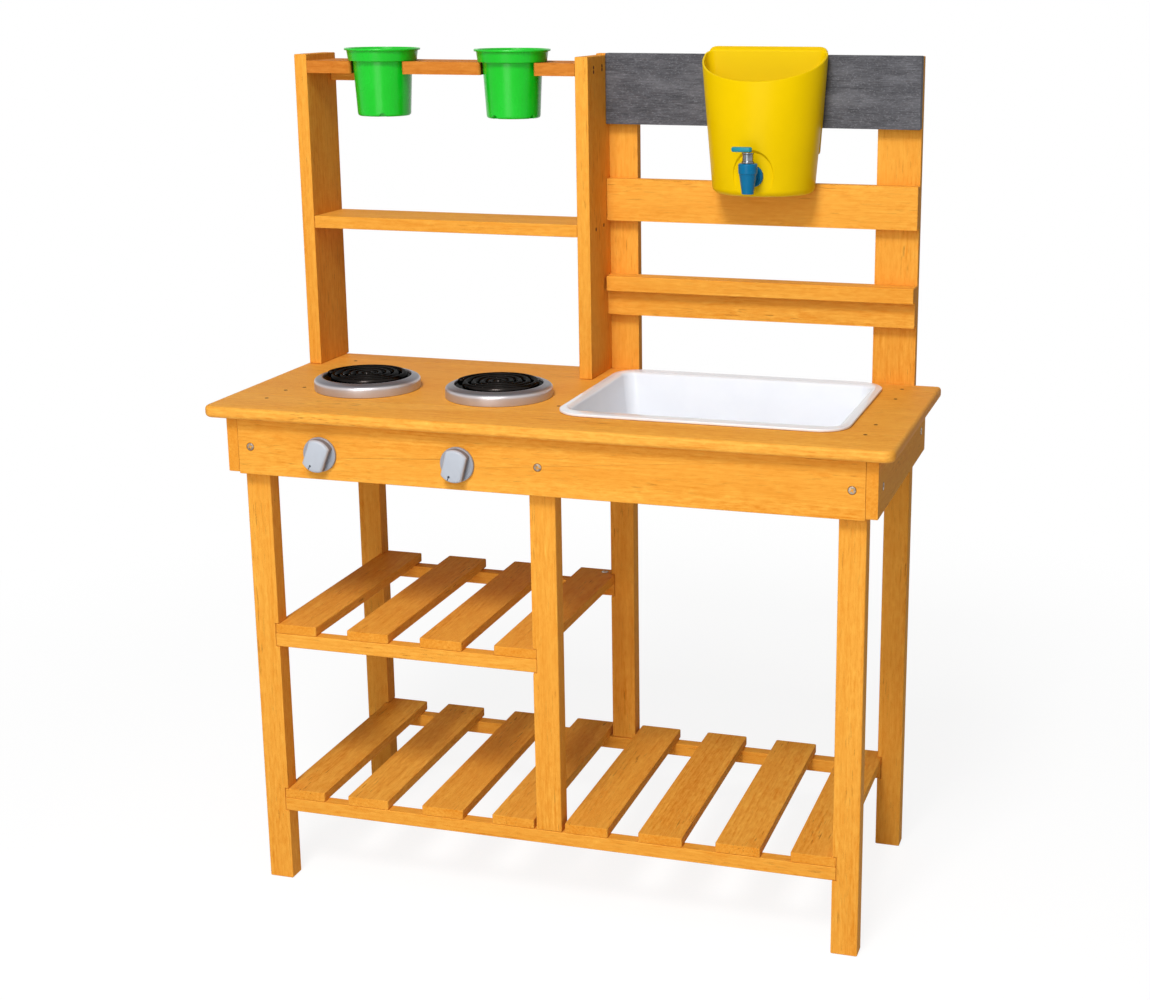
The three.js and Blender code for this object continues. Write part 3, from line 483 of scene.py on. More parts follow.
def eased(corners, steps=6):
    """A run of points with its corners rounded; each corner ends with its rounding's reach."""
    points = []
    for i, corner in enumerate(corners):
        here = Vector(corner[:-1])
        if corner[-1] == 0 or i in (0, len(corners) - 1):
            points.append(here)
            continue
        back = Vector(corners[i - 1][:-1]) - here
        on = Vector(corners[i + 1][:-1]) - here
        start = here + back * min(corner[-1] / back.length, 0.48)
        end = here + on * min(corner[-1] / on.length, 0.48)
        for step in range(steps + 1):
            t = step / steps
            points.append((1 - t) ** 2 * start + 2 * t * (1 - t) * here + t * t * end)
    return points


def skin(bm, rings, loop=False):
    """Faces between neighbouring rings; a ring of one point is a pole."""
    following = rings[1:] + ([rings[0]] if loop else [])
    for lower, upper in zip(rings, following):
        count = max(len(lower), len(upper))
        for i in range(count):
            j = (i + 1) % count
            corners = []
            for vertex in (
                lower[i % len(lower)],
                lower[j % len(lower)],
                upper[j % len(upper)],
                upper[i % len(upper)],
            ):
                if vertex not in corners:
                    corners.append(vertex)
            if len(corners) > 2:
                bm.faces.new(corners)


def ring_of(bm, points):
    return [bm.verts.new(Vector(point) * MM) for point in points]


def lathe(corners, steps=96, loop=False):
    """A turned skin round Z from corners of radius, height and rounding, in millimetres."""
    bm = bmesh.new()
    angles = [2 * math.pi * i / steps for i in range(steps)]
    rings = []
    for radius, height in eased(corners):
        if radius < 1e-6:
            rings.append(ring_of(bm, [(0, 0, height)]))
        else:
            circle = [(radius * math.cos(a), radius * math.sin(a), height) for a in angles]
            rings.append(ring_of(bm, circle))
    skin(bm, rings, loop)
    return bm


def loft(rings, bm=None):
    """A skin over rings of points, closed by a fan at each end."""
    bm = bm or bmesh.new()
    made = [ring_of(bm, ring) for ring in rings]
    ends = [sum((v.co for v in made[i]), Vector()) / len(made[i]) for i in (0, -1)]
    first, last = (bm.verts.new(end) for end in ends)
    skin(bm, [[first]] + made + [[last]])
    return bm


def tube(points, radius, sides, bm):
    """Adds a round bar of one radius along a run of points, rounded off at both ends."""
    rings = []
    count = len(points)
    for i, point in enumerate(points):
        before, after = points[max(i - 1, 0)], points[min(i + 1, count - 1)]
        ahead = (after - before).normalized()
        side = ahead.cross(Vector((0, 0, 1))).normalized()
        up = side.cross(ahead)
        angles = [2 * math.pi * k / sides for k in range(sides)]
        rings.append([point + radius * (side * math.cos(a) + up * math.sin(a)) for a in angles])
    for end, inner in ((0, 1), (-1, -2)):
        out = (points[end] - points[inner]).normalized()
        caps = []
        for share in (0.5, 0.87):
            shrink = math.sqrt(1 - share * share)
            middle = points[end] + out * radius * share
            caps.append([middle + (p - points[end]) * shrink for p in rings[end]])
        rings = list(reversed(caps)) + rings if end == 0 else rings + caps
    return loft(rings, bm)


def arc(middle, radii, start, end, steps):
    """Points along part of an ellipse, both ends included, from angle to angle."""
    points = []
    for step in range(steps + 1):
        angle = start + (end - start) * step / steps
        x, y = radii[0] * math.cos(angle), radii[1] * math.sin(angle)
        points.append((middle[0] + x, middle[1] + y))
    return points


def rounded_outline(half_x, half_y, radius, steps):
    """Points round a rectangle with round corners, anticlockwise from its right side."""
    points = []
    for quarter, (sx, sy) in enumerate(((1, 1), (-1, 1), (-1, -1), (1, -1))):
        middle = (sx * (half_x - radius), sy * (half_y - radius))
        start = quarter * math.pi / 2
        points += arc(middle, (radius, radius), start, start + math.pi / 2, steps)
    return points


def level(outline, height):
    """An outline laid flat at one height."""
    return [(x, y, height) for x, y in outline]


def paint(thing, material):
    thing.data.materials.clear()
    thing.data.materials.append(material)


def mesh_from(name, bm):
    """Uses up a shape to make a mesh whose faces look outward."""
    bmesh.ops.recalc_face_normals(bm, faces=bm.faces)
    mesh = bpy.data.meshes.new(name)
    bm.to_mesh(mesh)
    bm.free()
    return mesh


def mesh_piece(name, bm, material, body, stands_for=(), sharp=38):
    """Turns a shape into a piece of the kitchen that rides on a body."""
    piece = bpy.data.objects.new(name, mesh_from(name, bm))
    return dress(piece, material, body, stands_for, sharp)


def dress(piece, material, body, stands_for=(), sharp=38):
    """Paints a piece, smooths it up to an angle, and says what it rides on and replaces."""
    if piece.name not in bpy.context.scene.collection.objects:
        bpy.context.scene.collection.objects.link(piece)
    paint(piece, material)
    for face in piece.data.polygons:
        face.use_smooth = True
    piece.data.set_sharp_from_angle(angle=math.radians(sharp))
    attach(piece, body)
    if stands_for:
        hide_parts(*stands_for)
    return piece


def loose(name, bm):
    """A mesh object that is only worked on, not yet a piece."""
    made = bpy.data.objects.new(name, mesh_from(name, bm))
    bpy.context.scene.collection.objects.link(made)
    return made


def carve(stock, tool, operation="DIFFERENCE"):
    """Cuts, joins or clips the stock with the tool, and throws the tool away."""
    cut = stock.modifiers.new("carve", "BOOLEAN")
    cut.operation = operation
    cut.solver = "EXACT"
    cut.object = tool
    bpy.context.view_layer.update()
    graph = bpy.context.evaluated_depsgraph_get()
    result = bpy.data.meshes.new_from_object(stock.evaluated_get(graph))
    stock.modifiers.clear()
    old = stock.data
    stock.data = result
    bpy.data.meshes.remove(old)
    bpy.data.objects.remove(tool)
    return stock


def shape_of(thing):
    """Takes a loose object apart again, into the shape it was made from."""
    bm = bmesh.new()
    bm.from_mesh(thing.data)
    bpy.data.objects.remove(thing)
    return bm


def with_added(whole, bm):
    """Adds a shape to another, side by side, and uses it up."""
    mesh = mesh_from("added", bm)
    whole.from_mesh(mesh)
    bpy.data.meshes.remove(mesh)
    return whole


def bar_y(radius, y0, y1, z, steps=96):
    """A plain round bar along Y, used as a cutting tool or a core."""
    bm = lathe([(0, y0, 0), (radius, y0, 0), (radius, y1, 0), (0, y1, 0)], steps)
    return moved(bm, at(0, 0, z) @ ALONG_Y)


# Timber: the boards keep their solids, with eased edges ---------------------------------------

TIMBER_ALONG = {
    "X": ["apron_front", "apron_back_left", "apron_back_right", "back_board", "ledge_board"]
    + ["ledge_lip", "lower_rail_back", "lower_rail_front", "upper_rail_back", "upper_rail_front"]
    + ["middle_shelf", "pot_shelf", "pot_shelf_cleat", "worktop_back_board"]
    + ["worktop_front_board", "worktop_middle_left", "worktop_middle_right"],
    "Y": ["apron_left", "apron_right"]
    + ["lower_slat_%d" % i for i in range(1, 9)]
    + ["upper_slat_%d" % i for i in range(1, 5)],
    "Z": ["leg_back_left", "leg_back_right", "leg_front_left", "leg_front_right"]
    + ["post_back_middle", "post_front_middle", "back_stile_left", "back_stile_right"]
    + ["shelf_upright_left", "shelf_upright_right"],
}
EDGE_EASE = {"worktop": 0.5, "lower_slat": 2.2, "upper_slat": 2.2, "leg": 1.6, "post": 1.6}
USUAL_EASE = 1.3


def ease_edges(board, width_mm):
    """Planes a small round on the board's arrises, over its untouched solid."""
    for face in board.data.polygons:
        face.use_smooth = True
    if "custom_normal" in board.data.attributes:
        board.data.attributes.remove(board.data.attributes["custom_normal"])
    weld = board.modifiers.new("weld", "WELD")
    weld.merge_threshold = 0.01 * MM
    bevel = board.modifiers.new("eased edges", "BEVEL")
    bevel.width = width_mm * MM
    bevel.segments = 3
    bevel.limit_method = "ANGLE"
    bevel.angle_limit = math.radians(35)
    bevel.harden_normals = True


def remember_middle(board):
    """Keeps the board's middle on its points, because its grain is laid out from there."""
    low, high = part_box(board.name)
    middle = (low + high) / 2
    marks = board.data.attributes.new("board_middle", "FLOAT_VECTOR", "POINT")
    marks.data.foreach_set("vector", list(middle) * len(board.data.vertices))


def stain_of(name, direction):
    """The worktop is rubbed by use, and the pot shelf is given a darker tone."""
    if name.startswith("worktop"):
        return rubbed_timber
    return darker_board if name == "pot_shelf" else timber[direction]


def dress_timber():
    for direction, names in TIMBER_ALONG.items():
        for name in names:
            board = nodes[name]
            paint(board, stain_of(name, direction))
            remember_middle(board)
            own = (ease for start, ease in EDGE_EASE.items() if name.startswith(start))
            ease_edges(board, next(own, USUAL_EASE))
    paint(nodes["chalkboard"], blackboard)
    ease_edges(nodes["chalkboard"], USUAL_EASE)


dress_timber()


# Hotplates -----------------------------------------------------------------------------------


def hotplate(side):
    """A silver ring round a shallow plate, on which a black coil is wound."""
    low, _, (x, y, _) = measures("hotplate_ring_" + side)
    stand = at(x, y, low[2])
    ring = lathe(
        [
            (60.6, 0, 0),
            (73, 0, 0.8),
            (73, 12.4, 2.5),
            (69.8, 15.4, 2.5),
            (62.2, 17.9, 0.8),
            (60.6, 17.8, 0.4),
            (60.6, 0, 0),
        ],
        loop=True,
    )
    mesh_piece(
        "ring_" + side,
        moved(ring, stand),
        silver_ring,
        "frame",
        ["hotplate_ring_" + side],
    )
    plate = lathe([(0, 0, 0), (60.3, 0, 0), (60.3, 15.6, 1), (54, 16, 1), (0, 15.4, 0)])
    turns, steps = 4.5, 260
    inner, outer, height, thickness = 5.2, 55.6, 16.7, 4.7
    points = []
    for i in range(steps + 1):
        share = i / steps
        angle = share * turns * 2 * math.pi
        radius = inner + share * (outer - inner)
        points.append(Vector((radius * math.cos(angle), radius * math.sin(angle), height)))
    tube(points, thickness, 16, plate)
    mesh_piece(
        "coil_" + side,
        moved(plate, stand),
        coil_black,
        "frame",
        ["hotplate_coil_" + side],
    )


hotplate("left")
hotplate("right")


# Knobs ---------------------------------------------------------------------------------------

GRIP_RADIUS, GRIP_HALF_WIDTH = 22, 14.8
# The grip's rings: height over the apron, and how far the ring is drawn in
GRIP_RINGS = ((3, 0), (12.9, 0), (14.4, 0.5), (15.5, 1.3), (16.2, 2.2), (16.5, 3.2))
POINTER_LEAN = -9  # degrees from the grip's own length
POINTER_DOT_Y = -15


def grip_outline(inset):
    """The flat-sided round of a knob's grip, drawn in by an inset."""
    radius, half = GRIP_RADIUS - inset, GRIP_HALF_WIDTH - inset
    bend = math.asin(half / radius)
    points = []
    for middle in (math.pi / 2, 1.5 * math.pi):
        points += arc((0, 0), (radius, radius), middle - bend, middle + bend, 16)
    return points


def pointer_dot(radius, low, high):
    """The round end of a pointer, between two heights over the apron."""
    dot = lathe([(0, low, 0), (radius, low, 0), (radius, high, 0), (0, high, 0)], 24)
    return moved(dot, at(0, POINTER_DOT_Y, 0))


def pointer_line(half_width, half_length, y, low, high, bm=None):
    """A slot or bar with round ends, its middle at y, between two heights."""
    outline = rounded_outline(half_width, half_length, half_width - 0.01, 4)
    shifted = [(px, py + y) for px, py in outline]
    return loft([level(shifted, low), level(shifted, high)], bm)


def knob(side, turn):
    """A knob at a turn in degrees, with a pointer cut into its face and a dark fill in it: painted
    shade of the cut hole and slot.
    """
    _, high, (x, _, z) = measures("knob_" + side)
    stand = at(x, high[1], z) @ FACING_FRONT @ turned(turn)
    lean = turned(POINTER_LEAN)
    grip = loose("grip", loft([level(grip_outline(inset), height) for height, inset in GRIP_RINGS]))
    carve(grip, loose("dot", moved(pointer_dot(1.7, 14.2, 20), lean)))
    carve(grip, loose("line", moved(pointer_line(0.65, 3.4, -18, 14.6, 20), lean)))
    flange = lathe([(0, 0, 0), (23.2, 0, 0.3), (23.2, 3.2, 1.2), (21.8, 4, 0.6), (0, 4, 0)])
    mesh_piece(
        "knob_cap_" + side,
        moved(with_added(shape_of(grip), flange), stand),
        knob_plastic,
        "knob_" + side,
        ["knob_" + side],
    )
    # The dark fill paints the shade of the pointer's hole and slot.
    filling = pointer_line(0.6, 2.9, -17.6, 14.4, 15.6, pointer_dot(1.66, 13.6, 15.2))
    mesh_piece(
        "knob_pointer_" + side,
        moved(filling, stand @ lean),
        pointer_shade_fill,
        "knob_" + side,
    )


knob("left", -21)
knob("right", -15)
for side in ("left", "right"):
    paint(nodes["knob_spindle_" + side], screw_metal)


# Sink basin ----------------------------------------------------------------------------------

WELL_FROM_END, WELL_FROM_SIDE = 14.5, 24  # from the rim's outer edge to the well's wall


def sink_basin():
    """One moulding whose run goes under the well, up its outside, over the rim and down."""
    low, high, (x, y, _) = measures("sink_basin")
    half_x, half_y = (high[0] - low[0]) / 2, (high[1] - low[1]) / 2

    def wall(inset, radius, z, ease):
        return (WELL_FROM_END + inset, WELL_FROM_SIDE + inset, radius, z, ease)

    # Each corner: its insets from the ends and the sides, the plan's corner radius, its
    # height under the rim's top, and its rounding
    run = eased(
        [
            wall(40, 8, -86.8, 0),
            wall(9.6, 18.4, -86.8, 13),
            wall(-2.4, 18.4, -4.5, 1.5),
            (1.2, 1.2, 38.8, -4.5, 0.8),
            (0, 0, 40, -3.6, 0.8),
            (0, 0, 40, -0.6, 2.2),
            (7.5, 7.5, 33, 0, 4),
            wall(-4, 20, -0.6, 3),
            wall(0, 16, -2.4, 3),
            wall(12, 16, -84.4, 14),
            wall(44, 8, -84.0, 0),
        ],
        8,
    )
    rings = []
    for end, side, radius, z in run:
        outline = rounded_outline(half_x - end, half_y - side, radius, 12)
        rings.append([(x + px, y + py, high[2] + z) for px, py in outline])
    mesh_piece(
        "basin_moulding",
        loft(rings),
        basin_white,
        "basin",
        ["sink_basin"],
        50,
    )


sink_basin()


# Flower pots ---------------------------------------------------------------------------------


def flower_pot(side, turn):
    """A pot that hangs by its shoulder, with four drain notches; heights from its top."""
    low, high, (x, y, _) = measures("pot_" + side)
    base = low[2] - high[2]
    shoulder = -17.6
    body = loose(
        "pot",
        lathe(
            [
                (0, base + 2.6, 0),
                (27.5, base + 2.6, 1),
                (30.3, base, 1),
                (37.3, base, 4),
                (41.6, shoulder, 0.8),
                (47.8, shoulder, 1),
                (50, -3.2, 0.8),
                (52.9, -2.9, 0.6),
                (53.3, -1.2, 0.8),
                (52.8, 0, 0.6),
                (48.6, -0.2, 0.8),
                (46.2, shoulder + 1.8, 0.8),
                (39.8, shoulder + 1.8, 0.8),
                (35.4, base + 5, 3),
                (0, base + 4.4, 0),
            ],
            120,
        ),
    )
    for quarter in range(4):
        notch = moved(bar_y(5.2, -60, -30.9, base, 32), turned(turn + 90 * quarter))
        carve(body, loose("notch", notch))
    body.data.transform(at(x, y, high[2]))
    body.name = "flower_pot_" + side
    dress(body, pot_green, "pot_" + side, ["pot_" + side], 32)


flower_pot("left", 21)
flower_pot("right", 66)


# Water tank ----------------------------------------------------------------------------------

TANK_LOW, TANK_RIM = 956.5, 1148.0  # heights of its underside and of its rim at the back
TANK_HALF_WIDTH, TANK_WIDENS = 69.8, 16.5  # at its underside, and what its rim adds
TANK_DEPTH, TANK_DEEPENS = 83.6, 9
TANK_STRAIGHT = 22  # how far its sides run straight before its front rounds
TANK_CORNER, TANK_WALL = 14, 3
RIM_SLOPE = 0.434
TAP_HEIGHT, TAP_REACH = 985.0, 110.0  # of its shank's axis, and from the back plane
BONNET_FOOT, LEVER_FOOT = 1004.5, 1019
PLATE_STAND = 3.8  # the back plate's thickness, and the gap to the chalkboard
HOOK_HALF_WIDTH = 55


def tank_plan(z, inset):
    """The tank's level section as columns of x and y, from its back plane."""
    share = (z - TANK_LOW) / (TANK_RIM - TANK_LOW)
    half = TANK_HALF_WIDTH + share * TANK_WIDENS - inset
    depth = TANK_DEPTH + share * TANK_DEEPENS - inset
    corner = max(TANK_CORNER - inset, 1)
    side, back, round_corner = half - corner, -inset - corner, (corner, corner)
    front = (half, depth - TANK_STRAIGHT)
    return (
        arc((side, back), round_corner, math.pi / 2, 0, 8)
        + arc((0, -TANK_STRAIGHT), front, 0, -math.pi, 72)
        + arc((-side, back), round_corner, math.pi, math.pi / 2, 8)
    )


def rim_point(column, inset, drop):
    """Where a column of the wall meets the slanted rim, or a drop below it."""
    z = TANK_RIM
    for _ in range(6):
        z = TANK_RIM + RIM_SLOPE * tank_plan(z, inset)[column][1] - drop
    return (*tank_plan(z, inset)[column], z)


def tank_foot(low, inset, radius, steps=6):
    """Rings that round the tank's underside into its wall, from below."""
    rings = []
    for step in range(steps + 1):
        angle = math.pi / 2 * step / steps
        z = low + radius * (1 - math.cos(angle))
        rings.append(level(tank_plan(z, inset + radius * (1 - math.sin(angle))), z))
    return rings


def tank_wall_rings():
    """Up the outside from the underside, over the rounded rim, and down the inside."""
    columns = range(len(tank_plan(TANK_LOW, 0)))
    rings = tank_foot(TANK_LOW, 0, 9)
    for inset, drop in ((0, 1.6), (0.35, 0.6), (1.5, 0), (2.65, 0.6), (TANK_WALL, 1.6)):
        rings.append([rim_point(column, inset, drop) for column in columns])
    return rings + tank_foot(TANK_LOW + TANK_WALL, TANK_WALL, 8)[::-1]


def plate_outline():
    """The hanging plate behind the tank: wider at its round top corners."""
    corners = [(-73.5, 1007.5, 5), (73.5, 1007.5, 5), (83.5, 1152, 13), (-83.5, 1152, 13)]
    ring = corners[-1:] + corners + corners[:1]
    return eased(ring)[1:-1]


def add_box(bm, low, high):
    """Adds a plain box between two corners in millimetres."""
    box = bmesh.ops.create_cube(bm, size=1.0)["verts"]
    size = Matrix.Diagonal([(b - a) * MM for a, b in zip(low, high)] + [1])
    middle = at(*[(a + b) / 2 for a, b in zip(low, high)])
    bmesh.ops.transform(bm, matrix=middle @ size, verts=box)


def back_plate():
    """The plate behind the tank, with the hook that goes over the chalkboard."""
    rings = []
    middle_height, half_width, half_height = 1080, 80, 72
    for depth, inset in ((-1.5, 0), (2.6, 0), (3.5, 0.8)):
        wide, tall = 1 - inset / half_width, 1 - inset / half_height
        ring = []
        for px, pz in plate_outline():
            ring.append((px * wide, depth, middle_height + (pz - middle_height) * tall))
        rings.append(ring)
    plate = loft(rings)
    add_box(plate, (-HOOK_HALF_WIDTH, 1.8, 1141.4), (HOOK_HALF_WIDTH, 22.5, 1144.5))
    add_box(plate, (-HOOK_HALF_WIDTH, 19.4, 1122.6), (HOOK_HALF_WIDTH, 22.5, 1144.5))
    return plate


def sink_recess(shell):
    """Thickens the wall behind the tap, and cuts an arched recess into it from outside."""
    core_heights = (TANK_LOW + 10, TANK_LOW + 90)
    core = loose("core", loft([level(tank_plan(z, 0.5), z) for z in core_heights]))
    boss = carve(loose("boss", bar_y(40, -120, -72, TAP_HEIGHT)), core, "INTERSECT")
    carve(shell, boss, "UNION")
    # The recess's floor leaves the wall's face at one height and lies deeper above it.
    floor_start, floor_slope = 963, 0.062
    floor_rings = []
    for z in (948.0, 1052.0):
        floor_rings.append(level(tank_plan(z, (z - floor_start) * floor_slope), z))
    floor = loose("recess_floor", loft(floor_rings))
    cone = lathe([(0, -66, 0), (14, -66, 0), (37.5, -89.5, 0), (37.5, -140, 0), (0, -140, 0)], 128)
    recess = loose("recess", moved(cone, at(0, 0, TAP_HEIGHT) @ ALONG_Y))
    carve(shell, carve(recess, floor))


def tank_piece():
    """Makes the tank, and tells where its middle and its back plane are."""
    x = measures("water_tank")[2][0]
    y = measures("chalkboard")[0][1] - PLATE_STAND
    shell = loose("tank", loft(tank_wall_rings()))
    sink_recess(shell)
    whole = with_added(shape_of(shell), back_plate())
    mesh_piece(
        "tank_moulding",
        moved(whole, at(x, y, 0)),
        tank_yellow,
        "tank",
        ["water_tank"],
        30,
    )
    return x, y


def tap(x, y):
    """The tap's body with its shank, the bonnet on it, and the lever."""
    axis = y - TAP_REACH
    body = lathe(
        [
            (0, 984, 0),
            (5, 984, 0),
            (5, 964.2, 0.6),
            (7.9, 963.8, 0.8),
            (8.3, 968, 2),
            (11.6, 990.4, 0.6),
            (12.5, 991, 0.6),
            (12.8, 1003.4, 1.2),
            (11.4, 1004.2, 0.5),
            (0, 1004.2, 0),
        ],
        64,
    )
    moved(body, at(x, axis, 0))
    shank = lathe(
        [(0, 2, 0), (7.4, 2, 0), (7.4, 22.6, 0.8), (13.8, 22.8, 0.8), (14.6, 24, 1)]
        + [(14.6, 29, 0.8), (7.5, 29.2, 0), (7.5, 52, 0.6), (0, 52, 0)],
        48,
    )
    moved(shank, at(x, axis, TAP_HEIGHT) @ ALONG_Y)
    whole = with_added(body, shank)
    mesh_piece("tap_moulding", whole, tap_blue, "tank", ["tap_body"])
    bonnet = lathe(
        [(0, 0, 0), (8.3, 0, 0.4), (8.3, 2.6, 0.6), (7.2, 3.2, 0.5)]
        + [(7.2, 11.4, 0.5), (8, 12.2, 0.6), (8, 14, 0.6), (0, 14, 0)],
        64,
    )
    moved(bonnet, at(x, axis, BONNET_FOOT))
    mesh_piece("bonnet", bonnet, chrome, "tank", ["tap_bonnet"])
    half_length, half_width, overhang = 14, 4.25, 8.5
    rings = []
    for inset, height in ((1.6, 0), (0.5, 0.4), (0, 1.5), (0, 4.6), (0.6, 6), (2, 6.6)):
        half = half_width - inset
        ring = []
        for px, py in rounded_outline(half_length - inset, half, half - 0.01, 8):
            swell = 1 + 0.12 * (px / half_length)
            ring.append((px - overhang, py * swell, height))
        rings.append(ring)
    mesh_piece(
        "lever",
        moved(loft(rings), at(x, axis, LEVER_FOOT)),
        lever_teal,
        "lever",
        ["tap_lever"],
    )


tap(*tank_piece())
paint(nodes["tap_nut"], tap_blue)


# Screws and nails ----------------------------------------------------------------------------

NAIL_ORIGIN_X, NAIL_ORIGIN_Y = -421.9, -169.05  # the corner that nails are measured from


def screw_head(radius):
    """A flush screw head with a cross drive, facing up Z."""
    head = lathe([(0, -1.2, 0), (radius, -1.2, 0.2), (radius, 0.3, 0.5), (0, 0.7, 0)], 40)
    head = loose("head", head)
    for half_x, half_y in ((0.75, 3.4), (3.4, 0.75)):
        slot = rounded_outline(half_x, half_y, 0.3, 3)
        carve(head, loose("drive", loft([level(slot, -1), level(slot, 2)])))
    return head


def screws():
    """Screws into the legs and the middle post, at the right end, and in the last upper slat."""
    front = measures("apron_front")[0][1]
    right = measures("apron_right")[1][0]
    _, slat_high, slat_middle = measures("upper_slat_4")
    places = [at(px, front, 635.5) @ FACING_FRONT for px in (-404.1, 3.1, 410.4)]
    places += [at(right, py, 634) @ FACING_RIGHT for py in (-150, 150)]
    places += [at(slat_middle[0] + 12, slat_high[1] - 14, slat_high[2])]
    # A dark ring round each screw head: painted shade of its countersink.
    rim = lathe([(4.7, -0.4, 0), (5.7, -0.4, 0), (5.7, 0.05, 0.1), (4.7, 0.1, 0)], 40, loop=True)
    for name, pattern, material, finish in (
        ("screw_heads", screw_head(4.9), screw_metal, "steel"),
        ("screw_shade_rims", loose("rim", rim), countersink_shade, "honey_wood"),
    ):
        whole = bmesh.new()
        for i, place in enumerate(places):
            copy = pattern.data.copy()
            copy.transform(place @ turned(17 + 53 * i))
            whole.from_mesh(copy)
            bpy.data.meshes.remove(copy)
        bpy.data.objects.remove(pattern)
        mesh_piece(name, whole, material, "frame")


def nails():
    """Sunk nail heads on the worktop and on the right upright's outer face."""
    top = measures("worktop_front_board")[1][2]
    side = measures("shelf_upright_right")[1][0]
    on_top = [(836, 46), (839, 102), (838, 257), (836, 321.5)]
    on_top += [(18, 35), (19, 87), (35, 111), (21, 300), (415, 95)]
    on_side = [(290, 1123), (290, 1117), (326, 1124), (326, 1119), (292, 901), (326, 903)]
    places = [at(px + NAIL_ORIGIN_X, py + NAIL_ORIGIN_Y, top) for px, py in on_top]
    places += [at(side, py + NAIL_ORIGIN_Y, pz) @ FACING_RIGHT for py, pz in on_side]
    whole = bmesh.new()
    for place in places:
        nail = lathe(
            [(0, 0.04, 0), (1.7, 0.04, 0.1), (2.0, 0.16, 0.2), (2.7, 0.05, 0.1)]
            + [(2.7, -0.6, 0), (0, -0.6, 0)],
            20,
        )
        with_added(whole, moved(nail, place))
    # The heads' dark brown is partly painted shade of the dents they sit in.
    mesh_piece("nail_heads", whole, nail_and_dent_shade, "frame")


screws()
nails()


# Floor, light and camera ---------------------------------------------------------------------


def seen_directly(tree):
    """1 for rays that the camera sees, also by way of a mirror, and 0 for those that light."""
    rays = add(tree, "ShaderNodeLightPath").outputs
    direct = maths(tree, "MAXIMUM", rays["Is Camera Ray"], rays["Is Glossy Ray"])
    return maths(tree, "MAXIMUM", direct, rays["Is Transmission Ray"])


def plain_grey(value):
    return (value, value, value, 1)


def pale_floor():
    """A floor that takes a faint shadow near the kitchen and fades to white farther off."""
    mesh = bpy.data.meshes.new("floor")
    bm = bmesh.new()
    bmesh.ops.create_grid(bm, x_segments=1, y_segments=1, size=6)
    bm.to_mesh(mesh)
    bm.free()
    floor = bpy.data.objects.new("floor", mesh)
    floor.location.z = -0.0006
    bpy.context.scene.collection.objects.link(floor)
    material = bpy.data.materials.new("pale floor")
    material.use_nodes = True
    tree = material.node_tree
    tree.nodes.clear()
    bounce = add(tree, "ShaderNodeBsdfDiffuse")
    bounce.inputs["Color"].default_value = plain_grey(0.8)
    faint = add(tree, "ShaderNodeBsdfDiffuse")
    faint.inputs["Color"].default_value = plain_grey(0.16)
    glow = add(tree, "ShaderNodeEmission")
    glow.inputs["Strength"].default_value = 0.88
    pale = add(tree, "ShaderNodeAddShader")
    feed(tree, pale.inputs[0], faint.outputs[0])
    feed(tree, pale.inputs[1], glow.outputs[0])
    middle = vector_maths(tree, "MULTIPLY", object_place(tree), (1, 1, 0))
    reach = add(tree, "ShaderNodeVectorMath", operation="LENGTH")
    feed(tree, reach.inputs[0], middle)
    white = add(tree, "ShaderNodeEmission")
    fading = add(tree, "ShaderNodeMixShader")
    feed(tree, fading.inputs[0], remap(tree, reach.outputs[1], 0.7, 1.9))
    feed(tree, fading.inputs[1], pale.outputs[0])
    feed(tree, fading.inputs[2], white.outputs[0])
    either = add(tree, "ShaderNodeMixShader")
    feed(tree, either.inputs[0], seen_directly(tree))
    feed(tree, either.inputs[1], bounce.outputs[0])
    feed(tree, either.inputs[2], fading.outputs[0])
    feed(tree, add(tree, "ShaderNodeOutputMaterial").inputs[0], either.outputs[0])
    mesh.materials.append(material)


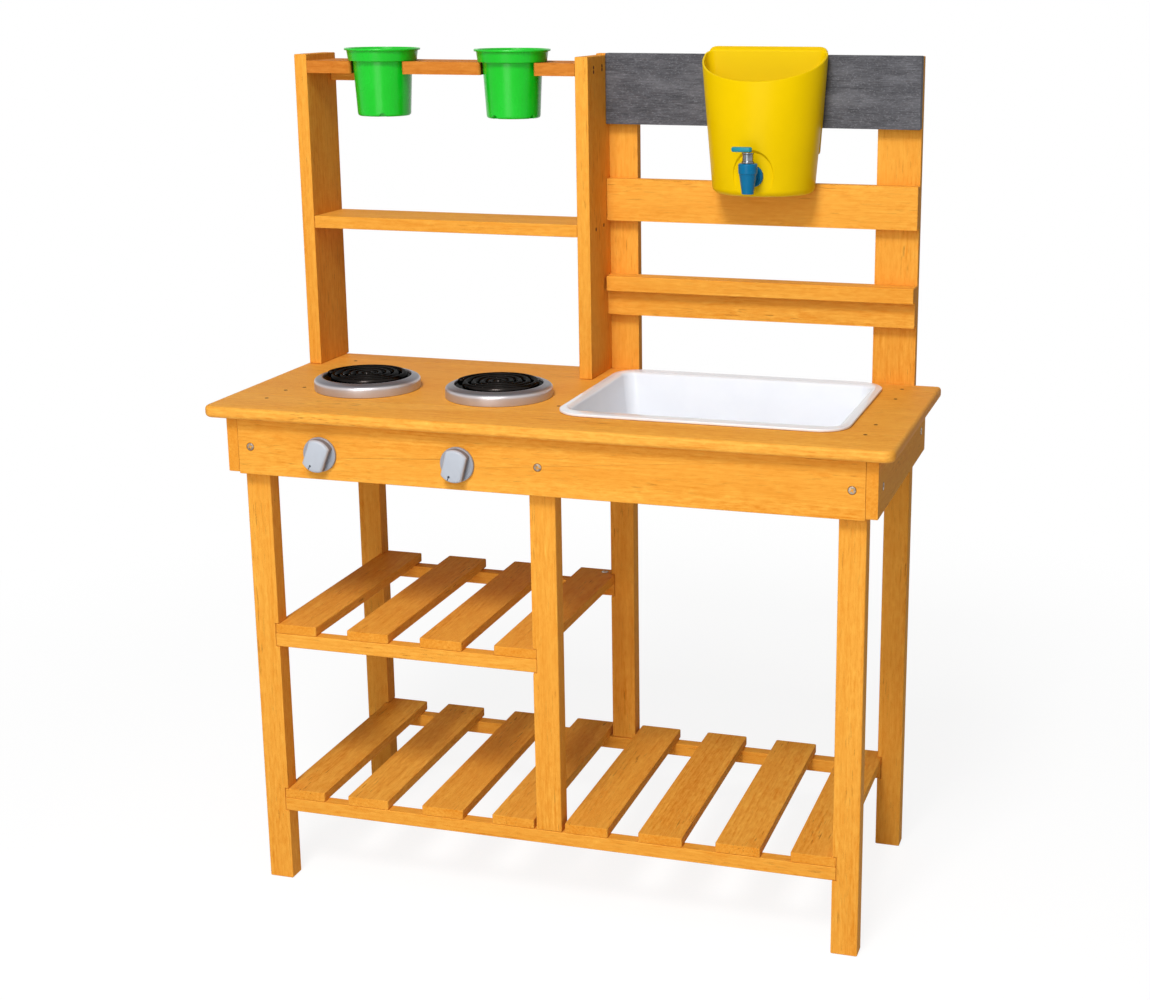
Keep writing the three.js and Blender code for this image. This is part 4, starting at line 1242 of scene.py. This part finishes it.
def studio_world():
    """White where the camera sees it, and a weak even light for the kitchen."""
    world = bpy.data.worlds.new("studio")
    bpy.context.scene.world = world
    world.use_nodes = True
    tree = world.node_tree
    back = tree.nodes["Background"]
    back.inputs["Color"].default_value = plain_grey(1)
    feed(tree, back.inputs["Strength"], remap(tree, seen_directly(tree), 0, 1, 0.15, 1.0))


def soft_lamp(name, place, target, size, power):
    """A round lamp that looks at a target."""
    data = bpy.data.lights.new(name, "AREA")
    data.shape = "DISK"
    data.size = size
    data.energy = power
    lamp = bpy.data.objects.new(name, data)
    lamp.location = place
    lamp.rotation_euler = (Vector(target) - Vector(place)).to_track_quat("-Z", "Y").to_euler()
    bpy.context.scene.collection.objects.link(lamp)


def portrait_camera():
    """The camera that the kitchen's right angles in the photograph lead back to."""
    data = bpy.data.cameras.new("portrait")
    data.sensor_width = 36
    data.sensor_fit = "HORIZONTAL"
    data.lens = 57.3686
    data.shift_x = -0.10428
    data.shift_y = -0.04629
    camera = bpy.data.objects.new("portrait", data)
    heading, dip, roll = 0.27374, 0.24544, -0.00032  # radians
    flat = math.cos(dip)
    ahead = Vector((-math.sin(heading) * flat, math.cos(heading) * flat, -math.sin(dip)))
    right = Vector((math.cos(heading), math.sin(heading), 0))
    up = right.cross(ahead)
    turned_right = right * math.cos(roll) + up * math.sin(roll)
    turned_up = up * math.cos(roll) - right * math.sin(roll)
    place = Matrix((turned_right, turned_up, -ahead)).transposed().to_4x4()
    place.translation = Vector((0.80771, -2.30715, 1.22916))
    camera.matrix_world = place
    bpy.context.scene.collection.objects.link(camera)
    bpy.context.scene.camera = camera


pale_floor()
studio_world()
# Each lamp: where it hangs, what it looks at, its width in metres and its power in watts
soft_lamp("high key", (0.1, -3.3, 4.2), (0, 0, 0.5), 1.4, 148)
soft_lamp("front", (0.1, -3.3, 1.9), (0, 0, 0.5), 2.0, 32)
soft_lamp("top", (0.1, -1.3, 3.6), (0, 0, 0.6), 1.5, 13)
soft_lamp("low", (-0.2, -2.8, 0.4), (0, 0, 0.4), 1.4, 11)
portrait_camera()
bpy.context.scene.view_settings.view_transform = "Standard"
